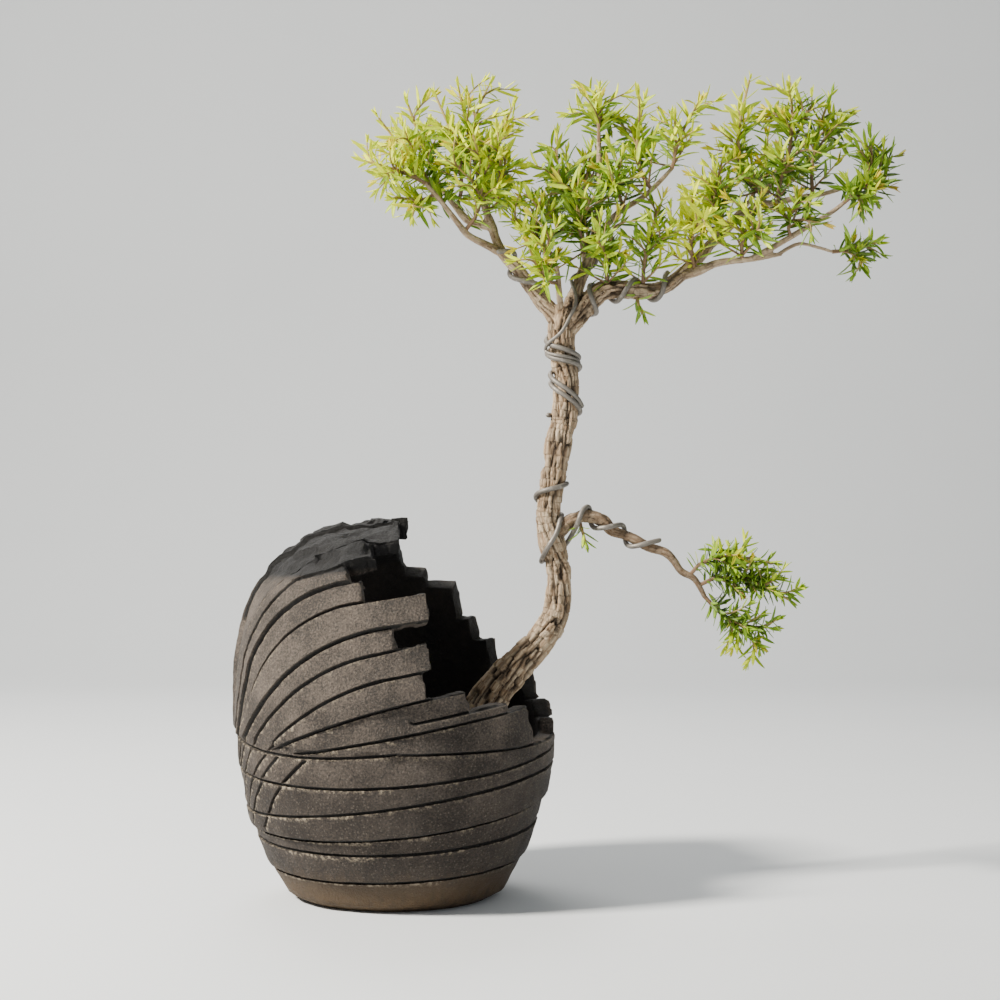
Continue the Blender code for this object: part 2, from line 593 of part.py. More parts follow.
def make_wires(space):
    """The wires, one after the other, each added to the space that the next one keeps clear of."""
    for name, wire in WIRES.items():
        bm = bmesh.new()
        route = wire_route(wire, space)
        radii = [wire.radius] * len(route)
        add_tube(bm, route, radii, WIRE_SIDES)
        space.add_route(name, route, radii)
        finish(new_object(name, bm), (0.30, 0.28, 0.25), 0.4, metallic=0.8)


def shoot_route(root, normal, tip):
    """Centres of a shoot that leaves along the normal and bends towards its tip."""
    reach = (tip - root).length
    bend = root + normal * reach * SHOOT_BEND
    route = []
    for i in range(SHOOT_RINGS):
        share = i / (SHOOT_RINGS - 1)
        route.append(root * (1 - share) ** 2 + bend * 2 * share * (1 - share) + tip * share**2)
    return route


def on_route(route, share):
    """Place and direction at a share of the way along a route of evenly numbered points."""
    where = share * (len(route) - 1)
    i = min(int(where), len(route) - 2)
    return route[i].lerp(route[i + 1], where - i), (route[i + 1] - route[i]).normalized()


def spray_shoots(spray):
    """The routes of the spray's shoots: the first leaves the limb, and the others leave the first."""
    place, ahead, radius = limb_at(LIMBS[spray.limb], spray.along)
    first_tip = Vector(spray.tips[0])
    if spray.along == 1:
        normal = ahead
        root = place + ahead * TIP_GAP
    else:
        towards = first_tip - place
        normal = (towards - ahead * towards.dot(ahead)).normalized()
        root = place + normal * (radius + ROOT_GAP)
    shoots = [shoot_route(root, normal, first_tip)]
    for i, tip in enumerate(spray.tips[1:]):
        fork, along_first = on_route(shoots[0], FIRST_FORK + FORK_STEP * i)
        shoots.append(shoot_route(fork, along_first, Vector(tip)))
    return shoots


def leaf_frame(route, share, number):
    """Where a leaf sits on its shoot: its root, the way it points and the way its width runs."""
    place, ahead = on_route(route, share)
    side = ahead.orthogonal().normalized()
    turn = Matrix.Rotation(GOLDEN_ANGLE * number, 3, ahead)
    outward = turn @ side
    pointing = (ahead * math.cos(LEAF_TILT) + outward * math.sin(LEAF_TILT)).normalized()
    return place, pointing, ahead.cross(outward).normalized()


def add_leaf(bm, root, pointing, across):
    """A thin lens with its inner tip buried in the twig."""
    length = LEAF_LENGTH + LEAF_BURIED
    made = bmesh.ops.create_uvsphere(bm, u_segments=4, v_segments=2, radius=1)["verts"]
    size = Matrix.Diagonal((LEAF_WIDTH / 2, LEAF_THICK / 2, length / 2, 1))
    turn = Matrix((across, pointing.cross(across), pointing)).transposed().to_4x4()
    middle = root + pointing * (length / 2 - LEAF_BURIED)
    bmesh.ops.transform(bm, matrix=Matrix.Translation(middle) @ turn @ size, verts=made)


def shoot_radii(count):
    return [SHOOT_RADIUS + (SHOOT_TIP_RADIUS - SHOOT_RADIUS) * i / (count - 1) for i in range(count)]


def make_sprays(space):
    """Every spray's twigs first, then its leaves, each leaf only where it clears what is already there."""
    shoots = {name: spray_shoots(spray) for name, spray in SPRAYS.items()}
    for name, routes in shoots.items():
        for route in routes:
            space.add_route(name, route, shoot_radii(len(route)))
    for name, routes in shoots.items():
        bm = bmesh.new()
        add_tube(bm, routes[0], shoot_radii(SHOOT_RINGS), SHOOT_SIDES)
        spray = new_object(name, bm)
        growth = bmesh.new()
        for route in routes[1:]:
            add_tube(growth, route, shoot_radii(SHOOT_RINGS), SHOOT_SIDES)
        for route in routes:
            for number in range(LEAVES_PER_SHOOT):
                share = FIRST_LEAF + (1 - FIRST_LEAF) * number / LEAVES_PER_SHOOT
                root, pointing, across = leaf_frame(route, share, number)
                end = root + pointing * LEAF_LENGTH
                if space.clearance(name, root, end) > LEAF_WIDTH / 2 + LEAF_CLEARANCE:
                    add_leaf(growth, root, pointing, across)
                    space.add_route(name, (root, end), (LEAF_WIDTH / 2, LEAF_WIDTH / 2))
        boolean(spray, new_object(f"{name}_growth", growth, helper=True), "UNION", overlapping=True)
        finish(spray, (0.25, 0.38, 0.07), 0.5)


def clear_scene():
    for old in list(bpy.data.objects):
        bpy.data.objects.remove(old)


def main():
    clear_scene()
    make_pot()
    make_drainage_mesh()
    make_soil()
    make_wood()
    space = Space()
    for limb in LIMBS.values():
        space.add_route("wood", vector_route(limb), limb_radii(limb))
    make_wires(space)
    make_sprays(space)


main()
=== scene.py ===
"""Looks of a wired bonsai tree in a hooded, hand-built stoneware pot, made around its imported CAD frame.

Metres, +Z up, origin in the middle of the pot's flat underside, front towards -Y. Tables that say so are in
millimetres and go through MM. Every piece rides on the one body, "root".
"""

import logging
import math
import random
from collections.abc import Callable, Iterable
from dataclasses import dataclass, field, replace
from enum import Enum

import bmesh
import bpy
import numpy as np
from mathutils import Matrix, Vector, noise


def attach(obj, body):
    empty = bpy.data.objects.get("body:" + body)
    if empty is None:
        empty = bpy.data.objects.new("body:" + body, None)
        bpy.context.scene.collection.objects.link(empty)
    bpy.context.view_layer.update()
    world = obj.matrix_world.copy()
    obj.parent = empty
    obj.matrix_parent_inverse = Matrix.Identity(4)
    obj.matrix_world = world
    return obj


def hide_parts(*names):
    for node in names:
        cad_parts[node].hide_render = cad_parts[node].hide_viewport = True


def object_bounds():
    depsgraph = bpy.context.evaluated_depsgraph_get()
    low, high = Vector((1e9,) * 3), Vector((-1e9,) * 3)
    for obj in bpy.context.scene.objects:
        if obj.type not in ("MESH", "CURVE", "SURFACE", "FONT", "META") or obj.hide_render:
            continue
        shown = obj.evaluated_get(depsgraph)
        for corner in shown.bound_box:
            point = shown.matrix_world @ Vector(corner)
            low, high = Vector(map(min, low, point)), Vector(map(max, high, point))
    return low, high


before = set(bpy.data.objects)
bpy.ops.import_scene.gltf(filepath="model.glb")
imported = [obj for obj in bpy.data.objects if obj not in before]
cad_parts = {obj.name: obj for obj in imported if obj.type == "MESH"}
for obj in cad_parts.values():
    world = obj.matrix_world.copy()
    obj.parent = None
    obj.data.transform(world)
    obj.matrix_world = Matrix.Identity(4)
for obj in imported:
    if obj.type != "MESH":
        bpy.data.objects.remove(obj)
CAD_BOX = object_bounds()

log = logging.getLogger("bonsai")

MM = 0.001
BODY = "root"
FRONT = Vector((0, -1, 0))
UP = Vector((0, 0, 1))
GOLDEN_ANGLE = math.radians(137.5)
SMOOTH_ANGLE = math.radians(38)
SMALLEST = 1e-6

Triple = tuple[float, float, float]
Colour = Triple
Socket = bpy.types.NodeSocket
Material = bpy.types.Material
Piece = bpy.types.Object
Shape = bmesh.types.BMesh
Vert = bmesh.types.BMVert
Test = Callable[[Vector], bool]


# ---------------------------------------------------------------------------------------------- finishes


class Shader:
    """A material's node tree, built from the Principled shader outwards by short calls."""

    def __init__(self, name: str, roughness: float, metallic: float = 0.0, specular: float = 0.5) -> None:
        """Starts a material.

        Args:
            name: The material's name.
            roughness: Roughness where no node drives it.
            metallic: How metallic it is.
            specular: Specular level of the shader.
        """
        self.material = bpy.data.materials.new(name)
        self.material.use_nodes = True
        self.tree = self.material.node_tree
        self.shader = self.tree.nodes["Principled BSDF"]
        self.shader.inputs["Roughness"].default_value = roughness
        self.shader.inputs["Metallic"].default_value = metallic
        self.shader.inputs["Specular IOR Level"].default_value = specular
        self.place = self.node("ShaderNodeTexCoord").outputs["Object"]

    def node(self, kind: str, **inputs: object) -> bpy.types.Node:
        """Adds a node and feeds its inputs.

        Args:
            kind: The node's type name.
            **inputs: A value or an output socket for each input, with _ for a space in its name.

        Returns:
            The new node.
        """
        made = self.tree.nodes.new(kind)
        for name, value in inputs.items():
            self.feed(made.inputs[name.replace("_", " ")], value)
        return made

    def feed(self, socket: Socket, value: object) -> None:
        """Links an output socket into an input, or sets the input's own value."""
        if isinstance(value, Socket):
            self.tree.links.new(value, socket)
        else:
            socket.default_value = value

    def attribute(self, name: str, output: str = "Fac") -> Socket:
        """Reads one of the piece's own attributes."""
        made = self.node("ShaderNodeAttribute")
        made.attribute_name = name
        return made.outputs[output]

    def stretched(self, place: Socket, scale: Triple) -> Socket:
        """Coordinates stretched along their axes."""
        made = self.node("ShaderNodeMapping", Vector=place)
        made.inputs["Scale"].default_value = scale
        return made.outputs["Vector"]

    def grain(self, scale: float, detail: float = 4.0, rough: float = 0.55, place: object = None,
              bend: float = 0.0) -> Socket:
        """Noise of a given number of features to the metre.

        Args:
            scale: Features to the metre.
            detail: Octaves.
            rough: How strong the finer octaves are.
            place: The coordinates it reads, or None for the object's own.
            bend: Distortion.

        Returns:
            The noise's factor socket.
        """
        made = self.node("ShaderNodeTexNoise", Vector=place or self.place, Scale=scale, Detail=detail,
                         Roughness=rough, Distortion=bend)
        return made.outputs["Fac"]

    def cells(self, scale: float, place: object = None) -> Socket:
        """Distance to the nearest of scattered cell centres, for pits and specks."""
        made = self.node("ShaderNodeTexVoronoi", Vector=place or self.place, Scale=scale)
        return made.outputs["Distance"]

    def spread(self, value: Socket, low: float, high: float, to_low: float = 0.0,
               to_high: float = 1.0) -> Socket:
        """Maps low..high to to_low..to_high, clamped."""
        made = self.node("ShaderNodeMapRange", Value=value)
        made.inputs["From Min"].default_value = low
        made.inputs["From Max"].default_value = high
        made.inputs["To Min"].default_value = to_low
        made.inputs["To Max"].default_value = to_high
        return made.outputs["Result"]

    def maths(self, kind: str, *values: object) -> Socket:
        """One step of arithmetic on sockets and numbers, such as ABSOLUTE or MAXIMUM."""
        made = self.node("ShaderNodeMath")
        made.operation = kind
        for socket, value in zip(made.inputs, values):
            self.feed(socket, value)
        return made.outputs[0]

    def plus(self, first: Socket, second: Socket, share: float = 1.0) -> Socket:
        """The first value and a share of the second."""
        return self.maths("MULTIPLY_ADD", second, share, first)

    def times(self, first: Socket, second: object) -> Socket:
        """The product of two values."""
        return self.maths("MULTIPLY", first, second)

    def blend(self, share: object, first: object, second: object) -> Socket:
        """Mixes two colours.

        Args:
            share: How much of the second, as a socket.
            first: A colour or a colour socket.
            second: A colour or a colour socket.

        Returns:
            The mixed colour's socket.
        """
        made = self.node("ShaderNodeMix")
        made.data_type = "RGBA"
        self.feed(made.inputs["Factor"], share)
        for socket, colour in ((made.inputs[6], first), (made.inputs[7], second)):
            self.feed(socket, (*colour, 1) if isinstance(colour, tuple) else colour)
        return made.outputs[2]

    def axis(self, name: str) -> Socket:
        """One coordinate of a point on the object, in metres."""
        return self.node("ShaderNodeSeparateXYZ", Vector=self.place).outputs[name]

    def bump(self, value: Socket, depth: float, strength: float = 1.0, below: object = None) -> object:
        """A bump of a real depth, on top of another one if there is one below."""
        made = self.node("ShaderNodeBump", Height=value, Strength=strength, Distance=depth)
        if below is not None:
            self.feed(made.inputs["Normal"], below)
        return made.outputs["Normal"]

    def done(self, colour: object, rough: object = None, normal: object = None) -> Material:
        """Connects the shader and gives back the material."""
        self.feed(self.shader.inputs["Base Color"], colour)
        if rough is not None:
            self.feed(self.shader.inputs["Roughness"], rough)
        if normal is not None:
            self.feed(self.shader.inputs["Normal"], normal)
        return self.material


@dataclass(frozen=True)
class SandyStoneware:
    """Dark, gritty, unglazed clay: ochre in the lowest band, with painted shade that darkens the lower
    belly, the scores and the inside, a painted shadow over the hood, and painted highlights on the torn
    lips.
    """

    body: Colour = (0.024, 0.019, 0.015)
    # Darker brown, painted as shade on the lower belly.
    brown: Colour = (0.012, 0.0072, 0.0042)
    sand: Colour = (0.135, 0.106, 0.084)
    speckle: Colour = (0.24, 0.20, 0.16)
    # Near black, painted as shade in the scores' floors.
    score: Colour = (0.006, 0.005, 0.004)
    # Cream, painted as a highlight on the scores' torn lips.
    lip: Colour = (0.38, 0.31, 0.22)
    foot: Colour = (0.145, 0.088, 0.038)
    # Near black, for the painted shadow over the hood and the painted shade on the inside.
    shade_black: Colour = (0.0045, 0.0045, 0.0052)
    low_shade_band: tuple[float, float] = (0.085, 0.150)
    foot_band: tuple[float, float] = (-0.004, 0.012)
    hood_band: tuple[float, float] = (0.181, 0.184)
    hood_tilt: float = -0.10
    sunny_side: tuple[float, float] = (-0.03, 0.05)
    grain_depth: float = 0.0012

    def clay(self, sheet: Shader, grit: Socket, cloud: Socket) -> Socket:
        """The clay's colour: sand and specks over a body with painted shade that makes it darker and browner
        below and thins the sand there, and the ochre foot.
        """
        height = sheet.axis("Z")
        speck = sheet.spread(sheet.cells(520), 0.10, 0.32, 1.0, 0.0)
        sandy = sheet.spread(sheet.plus(grit, cloud, 0.55), 0.66, 0.98)
        # Painted shade: darker and browner towards the bottom of the belly, with less sand.
        low = sheet.spread(sheet.plus(height, cloud, 0.05), *self.low_shade_band, 1.0, 0.0)
        sandy = sheet.times(sandy, sheet.spread(low, 0.0, 1.0, 1.0, 0.42))
        colour = sheet.blend(sandy, sheet.blend(low, self.body, self.brown), self.sand)
        colour = sheet.blend(sheet.times(speck, 0.25), colour, self.speckle)
        streak = sheet.grain(1, detail=4, place=sheet.stretched(sheet.place, (230, 230, 18)))
        footed = sheet.spread(sheet.plus(height, streak, -0.022), *self.foot_band, 1.0, 0.0)
        return sheet.blend(footed, colour, sheet.blend(streak, self.foot, self.body))

    def painted_shade(self, sheet: Shader, cloud: Socket) -> Socket:
        """Where shade is painted on the clay: a painted shadow over the hood above a ragged, tilted line,
        and painted shade on the inside.
        """
        ragged = sheet.plus(sheet.axis("Z"), cloud, 0.006)
        hood = sheet.spread(sheet.plus(ragged, sheet.axis("X"), self.hood_tilt), *self.hood_band)
        return sheet.maths("MAXIMUM", sheet.times(hood, 0.95), sheet.attribute("inner"))

    def lip_highlight(self, sheet: Shader) -> Socket:
        """Where a painted highlight lies on the scores' torn lower lips, broken up, most of all on the sunny
        left.
        """
        patchy = sheet.spread(sheet.grain(420, detail=5, rough=0.7), 0.47, 0.62)
        sunny = sheet.spread(sheet.axis("X"), *self.sunny_side, 1.0, 0.35)
        return sheet.times(sheet.times(sheet.attribute("lip"), patchy), sunny)

    def material(self) -> Material:
        """Builds the pot's material."""
        sheet = Shader("sandy_stoneware", roughness=0.8, specular=0.4)
        grit = sheet.grain(950, detail=5, rough=0.65)
        cloud = sheet.grain(42, detail=4)
        # The hood takes a painted shadow and the inside takes painted shade, both in near black.
        colour = sheet.blend(self.painted_shade(sheet, cloud), self.clay(sheet, grit, cloud), self.shade_black)
        # Painted shade in the scores' floors.
        colour = sheet.blend(sheet.attribute("score"), colour, self.score)
        # Painted highlight on the scores' torn lips.
        colour = sheet.blend(self.lip_highlight(sheet), colour, self.lip)
        normal = sheet.bump(cloud, self.grain_depth, 0.5)
        normal = sheet.bump(sheet.grain(330, detail=3), self.grain_depth, 0.8, normal)
        normal = sheet.bump(grit, self.grain_depth, 1.0, normal)
        return sheet.done(colour, sheet.spread(grit, 0.3, 0.7, 0.62, 0.92), normal)


@dataclass(frozen=True)
class FurrowedBark:
    """Bark that follows the limb: pale tan ridges, dark furrows that are partly painted shade, redder,
    smoother skin on young wood, and painted shade on shaded limbs.
    """

    ridge: Colour = (0.66, 0.53, 0.37)
    warm: Colour = (0.30, 0.185, 0.100)
    # Near black: the furrows' own dark colour, with painted shade in them.
    furrow: Colour = (0.030, 0.018, 0.010)
    young: Colour = (0.42, 0.32, 0.21)
    # Dark brown, painted as shade on a shaded limb's bark.
    dark: Colour = (0.150, 0.092, 0.052)
    strand_scale: Triple = (620, 620, 95)

    def material(self) -> Material:
        """Builds the wood's material."""
        sheet = Shader("furrowed_bark", roughness=0.85, specular=0.3)
        along = sheet.attribute("bark", "Vector")
        fibres = sheet.stretched(along, self.strand_scale)
        strands = sheet.grain(1, detail=6, rough=0.65, place=fibres, bend=0.4)
        patch = sheet.grain(55, detail=3)
        colour = sheet.blend(sheet.spread(strands, 0.36, 0.62), self.warm, self.ridge)
        colour = sheet.blend(sheet.spread(patch, 0.45, 0.70, 0.0, 0.55), colour, self.warm)
        colour = sheet.blend(sheet.times(sheet.attribute("youth"), 0.6), colour, self.young)
        # Painted shade on a limb marked as shaded.
        colour = sheet.blend(sheet.times(sheet.attribute("shade"), 0.75), colour, self.dark)
        # The furrows darken with their carved depth: partly their own colour, partly painted shade.
        between = sheet.spread(strands, 0.40, 0.30, 0.0, 0.8)
        depth = sheet.maths("MAXIMUM", sheet.attribute("furrow"), between)
        colour = sheet.blend(depth, colour, self.furrow)
        normal = sheet.bump(strands, 0.0011, 0.9)
        normal = sheet.bump(sheet.grain(1400, detail=3), 0.0003, 0.5, normal)
        return sheet.done(colour, None, normal)


@dataclass(frozen=True)
class AnodisedWire:
    """Soft aluminium training wire with a taupe anodised skin, rubbed where it bends."""

    skin: Colour = (0.185, 0.165, 0.142)
    rubbed: Colour = (0.34, 0.31, 0.27)

    def material(self) -> Material:
        """Builds the wire's material."""
        sheet = Shader("anodised_wire", roughness=0.5, metallic=0.45)
        scuff = sheet.grain(380, detail=4, rough=0.6)
        colour = sheet.blend(sheet.spread(scuff, 0.52, 0.72), self.skin, self.rubbed)
        rough = sheet.spread(scuff, 0.3, 0.7, 0.62, 0.44)
        return sheet.done(colour, rough, sheet.bump(scuff, 0.0001, 0.4))


@dataclass(frozen=True)
class NarrowLeaf:
    """Small lance-shaped leaves: lemon on new growth and with painted light towards a pad's rim and the sun,
    olive with painted shade inside, with a paler midrib and flushed tips.
    """

    # Dark olive: the colour of old leaves, and painted shade deep inside a pad.
    old: Colour = (0.018, 0.048, 0.007)
    green: Colour = (0.185, 0.320, 0.014)
    lemon: Colour = (0.740, 0.810, 0.012)
    flush: Colour = (0.62, 0.20, 0.03)
    midrib: Colour = (0.66, 0.74, 0.16)
    glow: float = 0.12
    glow_radius: Triple = (0.6, 1.0, 0.2)
    glow_depth: float = 0.0012

    def material(self) -> Material:
        """Builds the leaves' material."""
        sheet = Shader("narrow_leaf", roughness=0.5, specular=0.28)
        sheet.shader.inputs["Subsurface Weight"].default_value = self.glow
        sheet.shader.inputs["Subsurface Radius"].default_value = self.glow_radius
        sheet.shader.inputs["Subsurface Scale"].default_value = self.glow_depth
        mottle = sheet.grain(340, detail=3)
        # The tone attribute carries painted light and shade, as well as the leaves' age and random
        # differences.
        tone = sheet.plus(sheet.attribute("tone"), sheet.spread(mottle, 0.3, 0.7, -0.10, 0.10))
        colour = sheet.blend(sheet.spread(tone, 0.0, 0.5), self.old, self.green)
        colour = sheet.blend(sheet.spread(tone, 0.5, 1.0), colour, self.lemon)
        chart = sheet.node("ShaderNodeUVMap").outputs["UV"]
        across = sheet.node("ShaderNodeSeparateXYZ", Vector=chart).outputs["X"]
        aside = sheet.maths("ABSOLUTE", sheet.maths("SUBTRACT", across, 0.5))
        colour = sheet.blend(sheet.spread(aside, 0.03, 0.09, 0.30, 0.0), colour, self.midrib)
        colour = sheet.blend(sheet.attribute("flush"), colour, self.flush)
        rough = sheet.spread(mottle, 0.3, 0.7, 0.44, 0.58)
        return sheet.done(colour, rough, sheet.bump(mottle, 0.0002, 0.4))


@dataclass(frozen=True)
class TwigSkin:
    """Young twigs: reddish brown at the base, green and pink towards the tip."""

    brown: Colour = (0.21, 0.125, 0.070)
    fresh: Colour = (0.36, 0.27, 0.085)

    def material(self) -> Material:
        """Builds the twigs' material."""
        sheet = Shader("twig_skin", roughness=0.6, specular=0.35)
        fibre = sheet.grain(700, detail=4)
        share = sheet.plus(sheet.attribute("youth"), sheet.spread(fibre, 0.3, 0.7, -0.2, 0.2))
        colour = sheet.blend(sheet.spread(share, 0.2, 0.9), self.brown, self.fresh)
        return sheet.done(colour, None, sheet.bump(fibre, 0.0003, 0.6))


@dataclass(frozen=True)
class GrittySoil:
    """Grains of dark lava, brown fired clay and a few pale pumice stones."""

    dark: Colour = (0.030, 0.022, 0.017)
    clay: Colour = (0.165, 0.092, 0.050)
    pumice: Colour = (0.40, 0.35, 0.27)

    def material(self) -> Material:
        """Builds the soil's material."""
        sheet = Shader("gritty_soil", roughness=0.95, specular=0.2)
        grit = sheet.grain(1500, detail=4, rough=0.7)
        kind = sheet.attribute("kind")
        colour = sheet.blend(sheet.spread(kind, 0.35, 0.6), self.dark, self.clay)
        colour = sheet.blend(sheet.spread(kind, 0.88, 0.92), colour, self.pumice)
        colour = sheet.blend(sheet.spread(grit, 0.35, 0.7, 0.5, 0.0), colour, self.dark)
        return sheet.done(colour, None, sheet.bump(grit, 0.0006, 0.8))


@dataclass(frozen=True)
class MeshPlastic:
    """Black moulded net with a faint satin skin."""

    black: Colour = (0.012, 0.012, 0.013)
    scuffed: Colour = (0.045, 0.044, 0.042)

    def material(self) -> Material:
        """Builds the drainage mesh's material."""
        sheet = Shader("mesh_plastic", roughness=0.5)
        scuff = sheet.grain(600, detail=4)
        colour = sheet.blend(sheet.spread(scuff, 0.5, 0.75), self.black, self.scuffed)
        rough = sheet.spread(scuff, 0.3, 0.7, 0.42, 0.62)
        return sheet.done(colour, rough, sheet.bump(scuff, 0.0001, 0.4))


@dataclass(frozen=True)
class PalePlaster:
    """The stage's plain pale surface."""

    tint: Colour = (0.78, 0.80, 0.81)
    lighter: Colour = (0.82, 0.83, 0.84)

    def material(self) -> Material:
        """Builds the stage's material."""
        sheet = Shader("pale_plaster", roughness=0.9, specular=0.2)
        cloud = sheet.grain(6, detail=3)
        colour = sheet.blend(sheet.spread(cloud, 0.2, 0.8, 0.0, 0.5), self.tint, self.lighter)
        return sheet.done(colour)


# ---------------------------------------------------------------------------------------- shared workshop


def as_object(name: str, bm: Shape, *materials: Material, smooth: bool = True) -> Piece:
    """Makes a piece of a finished bmesh, at the origin, with its place in its mesh.

    Args:
        name: The piece's name.
        bm: The shape, which is freed.
        *materials: Its materials, in order.
        smooth: Whether it is shaded smooth up to SMOOTH_ANGLE.

    Returns:
        The new object.
    """
    mesh = bpy.data.meshes.new(name)
    bm.to_mesh(mesh)
    bm.free()
    for material in materials:
        mesh.materials.append(material)
    if smooth:
        mesh.shade_smooth()
        mesh.set_sharp_from_angle(angle=SMOOTH_ANGLE)
    made = bpy.data.objects.new(name, mesh)
    bpy.context.scene.collection.objects.link(made)
    return made


def settled(name: str, bm: Shape, kind: str, **settings: object) -> Shape:
    """Runs one modifier on a shape and gives its result back as a bmesh.

    Args:
        name: A name for the passing object.
        bm: The shape, which is freed.
        kind: The modifier's type.
        **settings: The modifier's settings.

    Returns:
        A new bmesh of the result.
    """
    helper = as_object(name, bm, smooth=False)
    step = helper.modifiers.new(name, kind)
    for setting, value in settings.items():
        setattr(step, setting, value)
    graph = bpy.context.evaluated_depsgraph_get()
    result = bmesh.new()
    result.from_object(helper, graph)
    mesh = helper.data
    bpy.data.objects.remove(helper)
    bpy.data.meshes.remove(mesh)
    return result


def place_piece(piece: Piece, slot: str, *nodes: str) -> Piece:
    """Puts a piece on its body and hides the CAD nodes that it stands for.

    Args:
        piece: The finished piece.
        slot: A material slot; not used.
        *nodes: The CAD nodes that it stands for.

    Returns:
        The same piece.
    """
    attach(piece, BODY)
    if nodes:
        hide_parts(*nodes)
    log.info("%s: %d faces", piece.name, len(piece.data.polygons))
    return piece


def add_tube(bm: Shape, centres: list[Vector], radii: list[float], sides: int) -> None:
    """Adds a closed tube through the centres, by extruding its end cap from ring to ring.

    Args:
        bm: The bmesh that grows.
        centres: Middles of the rings.
        radii: One radius to a ring.
        sides: Sides of each ring.
    """
    ring = bmesh.ops.create_circle(bm, cap_ends=True, radius=1, segments=sides)["verts"]
    outline = [vert.co.copy() for vert in ring]
    cap = ring[0].link_faces[0]
    faces = [cap]
    across = FRONT
    for i, (centre, radius) in enumerate(zip(centres, radii)):
        ahead = (centres[min(i + 1, len(centres) - 1)] - centres[max(i - 1, 0)]).normalized()
        across = (across - ahead * across.dot(ahead)).normalized()
        turn = Matrix((across, ahead.cross(across), ahead)).transposed()
        if i:
            grown = bmesh.ops.extrude_face_region(bm, geom=[cap])["geom"]
            if i > 1:
                bmesh.ops.delete(bm, geom=[cap], context="FACES_ONLY")
            cap = next(item for item in grown if isinstance(item, bmesh.types.BMFace))
            ring = list(cap.verts)
            faces += {face for vert in ring for face in vert.link_faces}
        for vert, corner in zip(ring, outline):
            vert.co = centre + turn @ (corner * radius)
    bmesh.ops.recalc_face_normals(bm, faces=[face for face in set(faces) if face.is_valid])


def rounded_route(points: list[Vector], steps: int) -> list[Vector]:
    """A smooth line through every point, as a Catmull-Rom curve.

    Args:
        points: The points that it passes.
        steps: Spans between two points.

    Returns:
        The denser route.
    """
    route = []
    for i in range(len(points) - 1):
        a, b, c, d = (points[min(max(i + k, 0), len(points) - 1)] for k in (-1, 0, 1, 2))
        for step in range(steps):
            t = step / steps
            route.append(0.5 * (2 * b + (c - a) * t + (2 * a - 5 * b + 4 * c - d) * t**2
                                + (3 * b - a - 3 * c + d) * t**3))
    return [*route, points[-1].copy()]


def turned_profile(profile: Iterable[tuple[float, float]], steps: int) -> Shape:
    """A closed surface turned about +Z from (radius, height) points that start and end on the axis."""
    bm = bmesh.new()
    corners = [bm.verts.new((radius, 0, height)) for radius, height in profile]
    edges = [bm.edges.new(pair) for pair in zip(corners, corners[1:])]
    bmesh.ops.spin(bm, geom=corners + edges, axis=(0, 0, 1), cent=(0, 0, 0), angle=math.tau, steps=steps,
                   use_merge=True)
    bmesh.ops.remove_doubles(bm, verts=bm.verts, dist=SMALLEST)
    bmesh.ops.dissolve_degenerate(bm, edges=bm.edges, dist=SMALLEST)
    bmesh.ops.recalc_face_normals(bm, faces=bm.faces)
    return bm


def bumps(place: Vector, size: float, seed: float = 0.0) -> float:
    """Smooth noise from -1 to 1 with features of a given size, in metres."""
    return noise.noise(place / size + Vector((seed, seed * 0.7, -seed)))


def relief(place: Vector, layers: Iterable[Triple]) -> float:
    """The sum of several bumps at a place, each given as its height, size and seed."""
    return sum(height * bumps(place, size, seed) for height, size, seed in layers)


def around(angle: float, radius: float = 1.0, height: float = 0.0) -> Vector:
    """The point at an angle about +Z."""
    return Vector((radius * math.cos(angle), radius * math.sin(angle), height))


# ------------------------------------------------------------------------------------------------- the pot


class Side(Enum):
    """Which half of the wall a score crosses."""

    FRONT = -1
    BACK = 1
    ROUND = 0


BELT_Z = 0.0875
OVERLAP = 0.002
UNDER_BELT_X = -0.02
STEEP = 0.2


@dataclass(frozen=True)
class Score:
    """A groove cut by a plane: its height on the axis, its rises to the right and the back, and its reach.

    A line that levels off has a second, gentler plane from level_from on, with its own rise to the right.
    """

    height: float
    right: float
    back: float
    side: Side = Side.ROUND
    above: float = 0.0
    below: float = 1.0
    left_of: float = 1.0
    right_of: float = -1.0
    level_from: float = 1.0
    rise: float = 0.0

    def over(self, point: Vector) -> float:
        """How far the point lies over the plane, square to it."""
        rise = point.z - self.height - self.right * point.x - self.back * point.y
        return rise / math.sqrt(1 + self.right**2 + self.back**2)

    def reaches(self, point: Vector) -> bool:
        """Whether the groove runs where the point is. Steep ones pass under the belt on the left only."""
        beside = self.right_of - OVERLAP < point.x < min(self.left_of, self.level_from) + OVERLAP
        if not (beside and self.above < point.z < self.below):
            return False
        if self.side is Side.ROUND:
            return True
        unbroken = point.z > BELT_Z or point.x < UNDER_BELT_X or abs(self.back) < STEEP
        return unbroken and point.y * self.side.value > 0

    def normal(self) -> Vector:
        """The plane's normal, upwards."""
        return Vector((-self.right, -self.back, 1)).normalized()


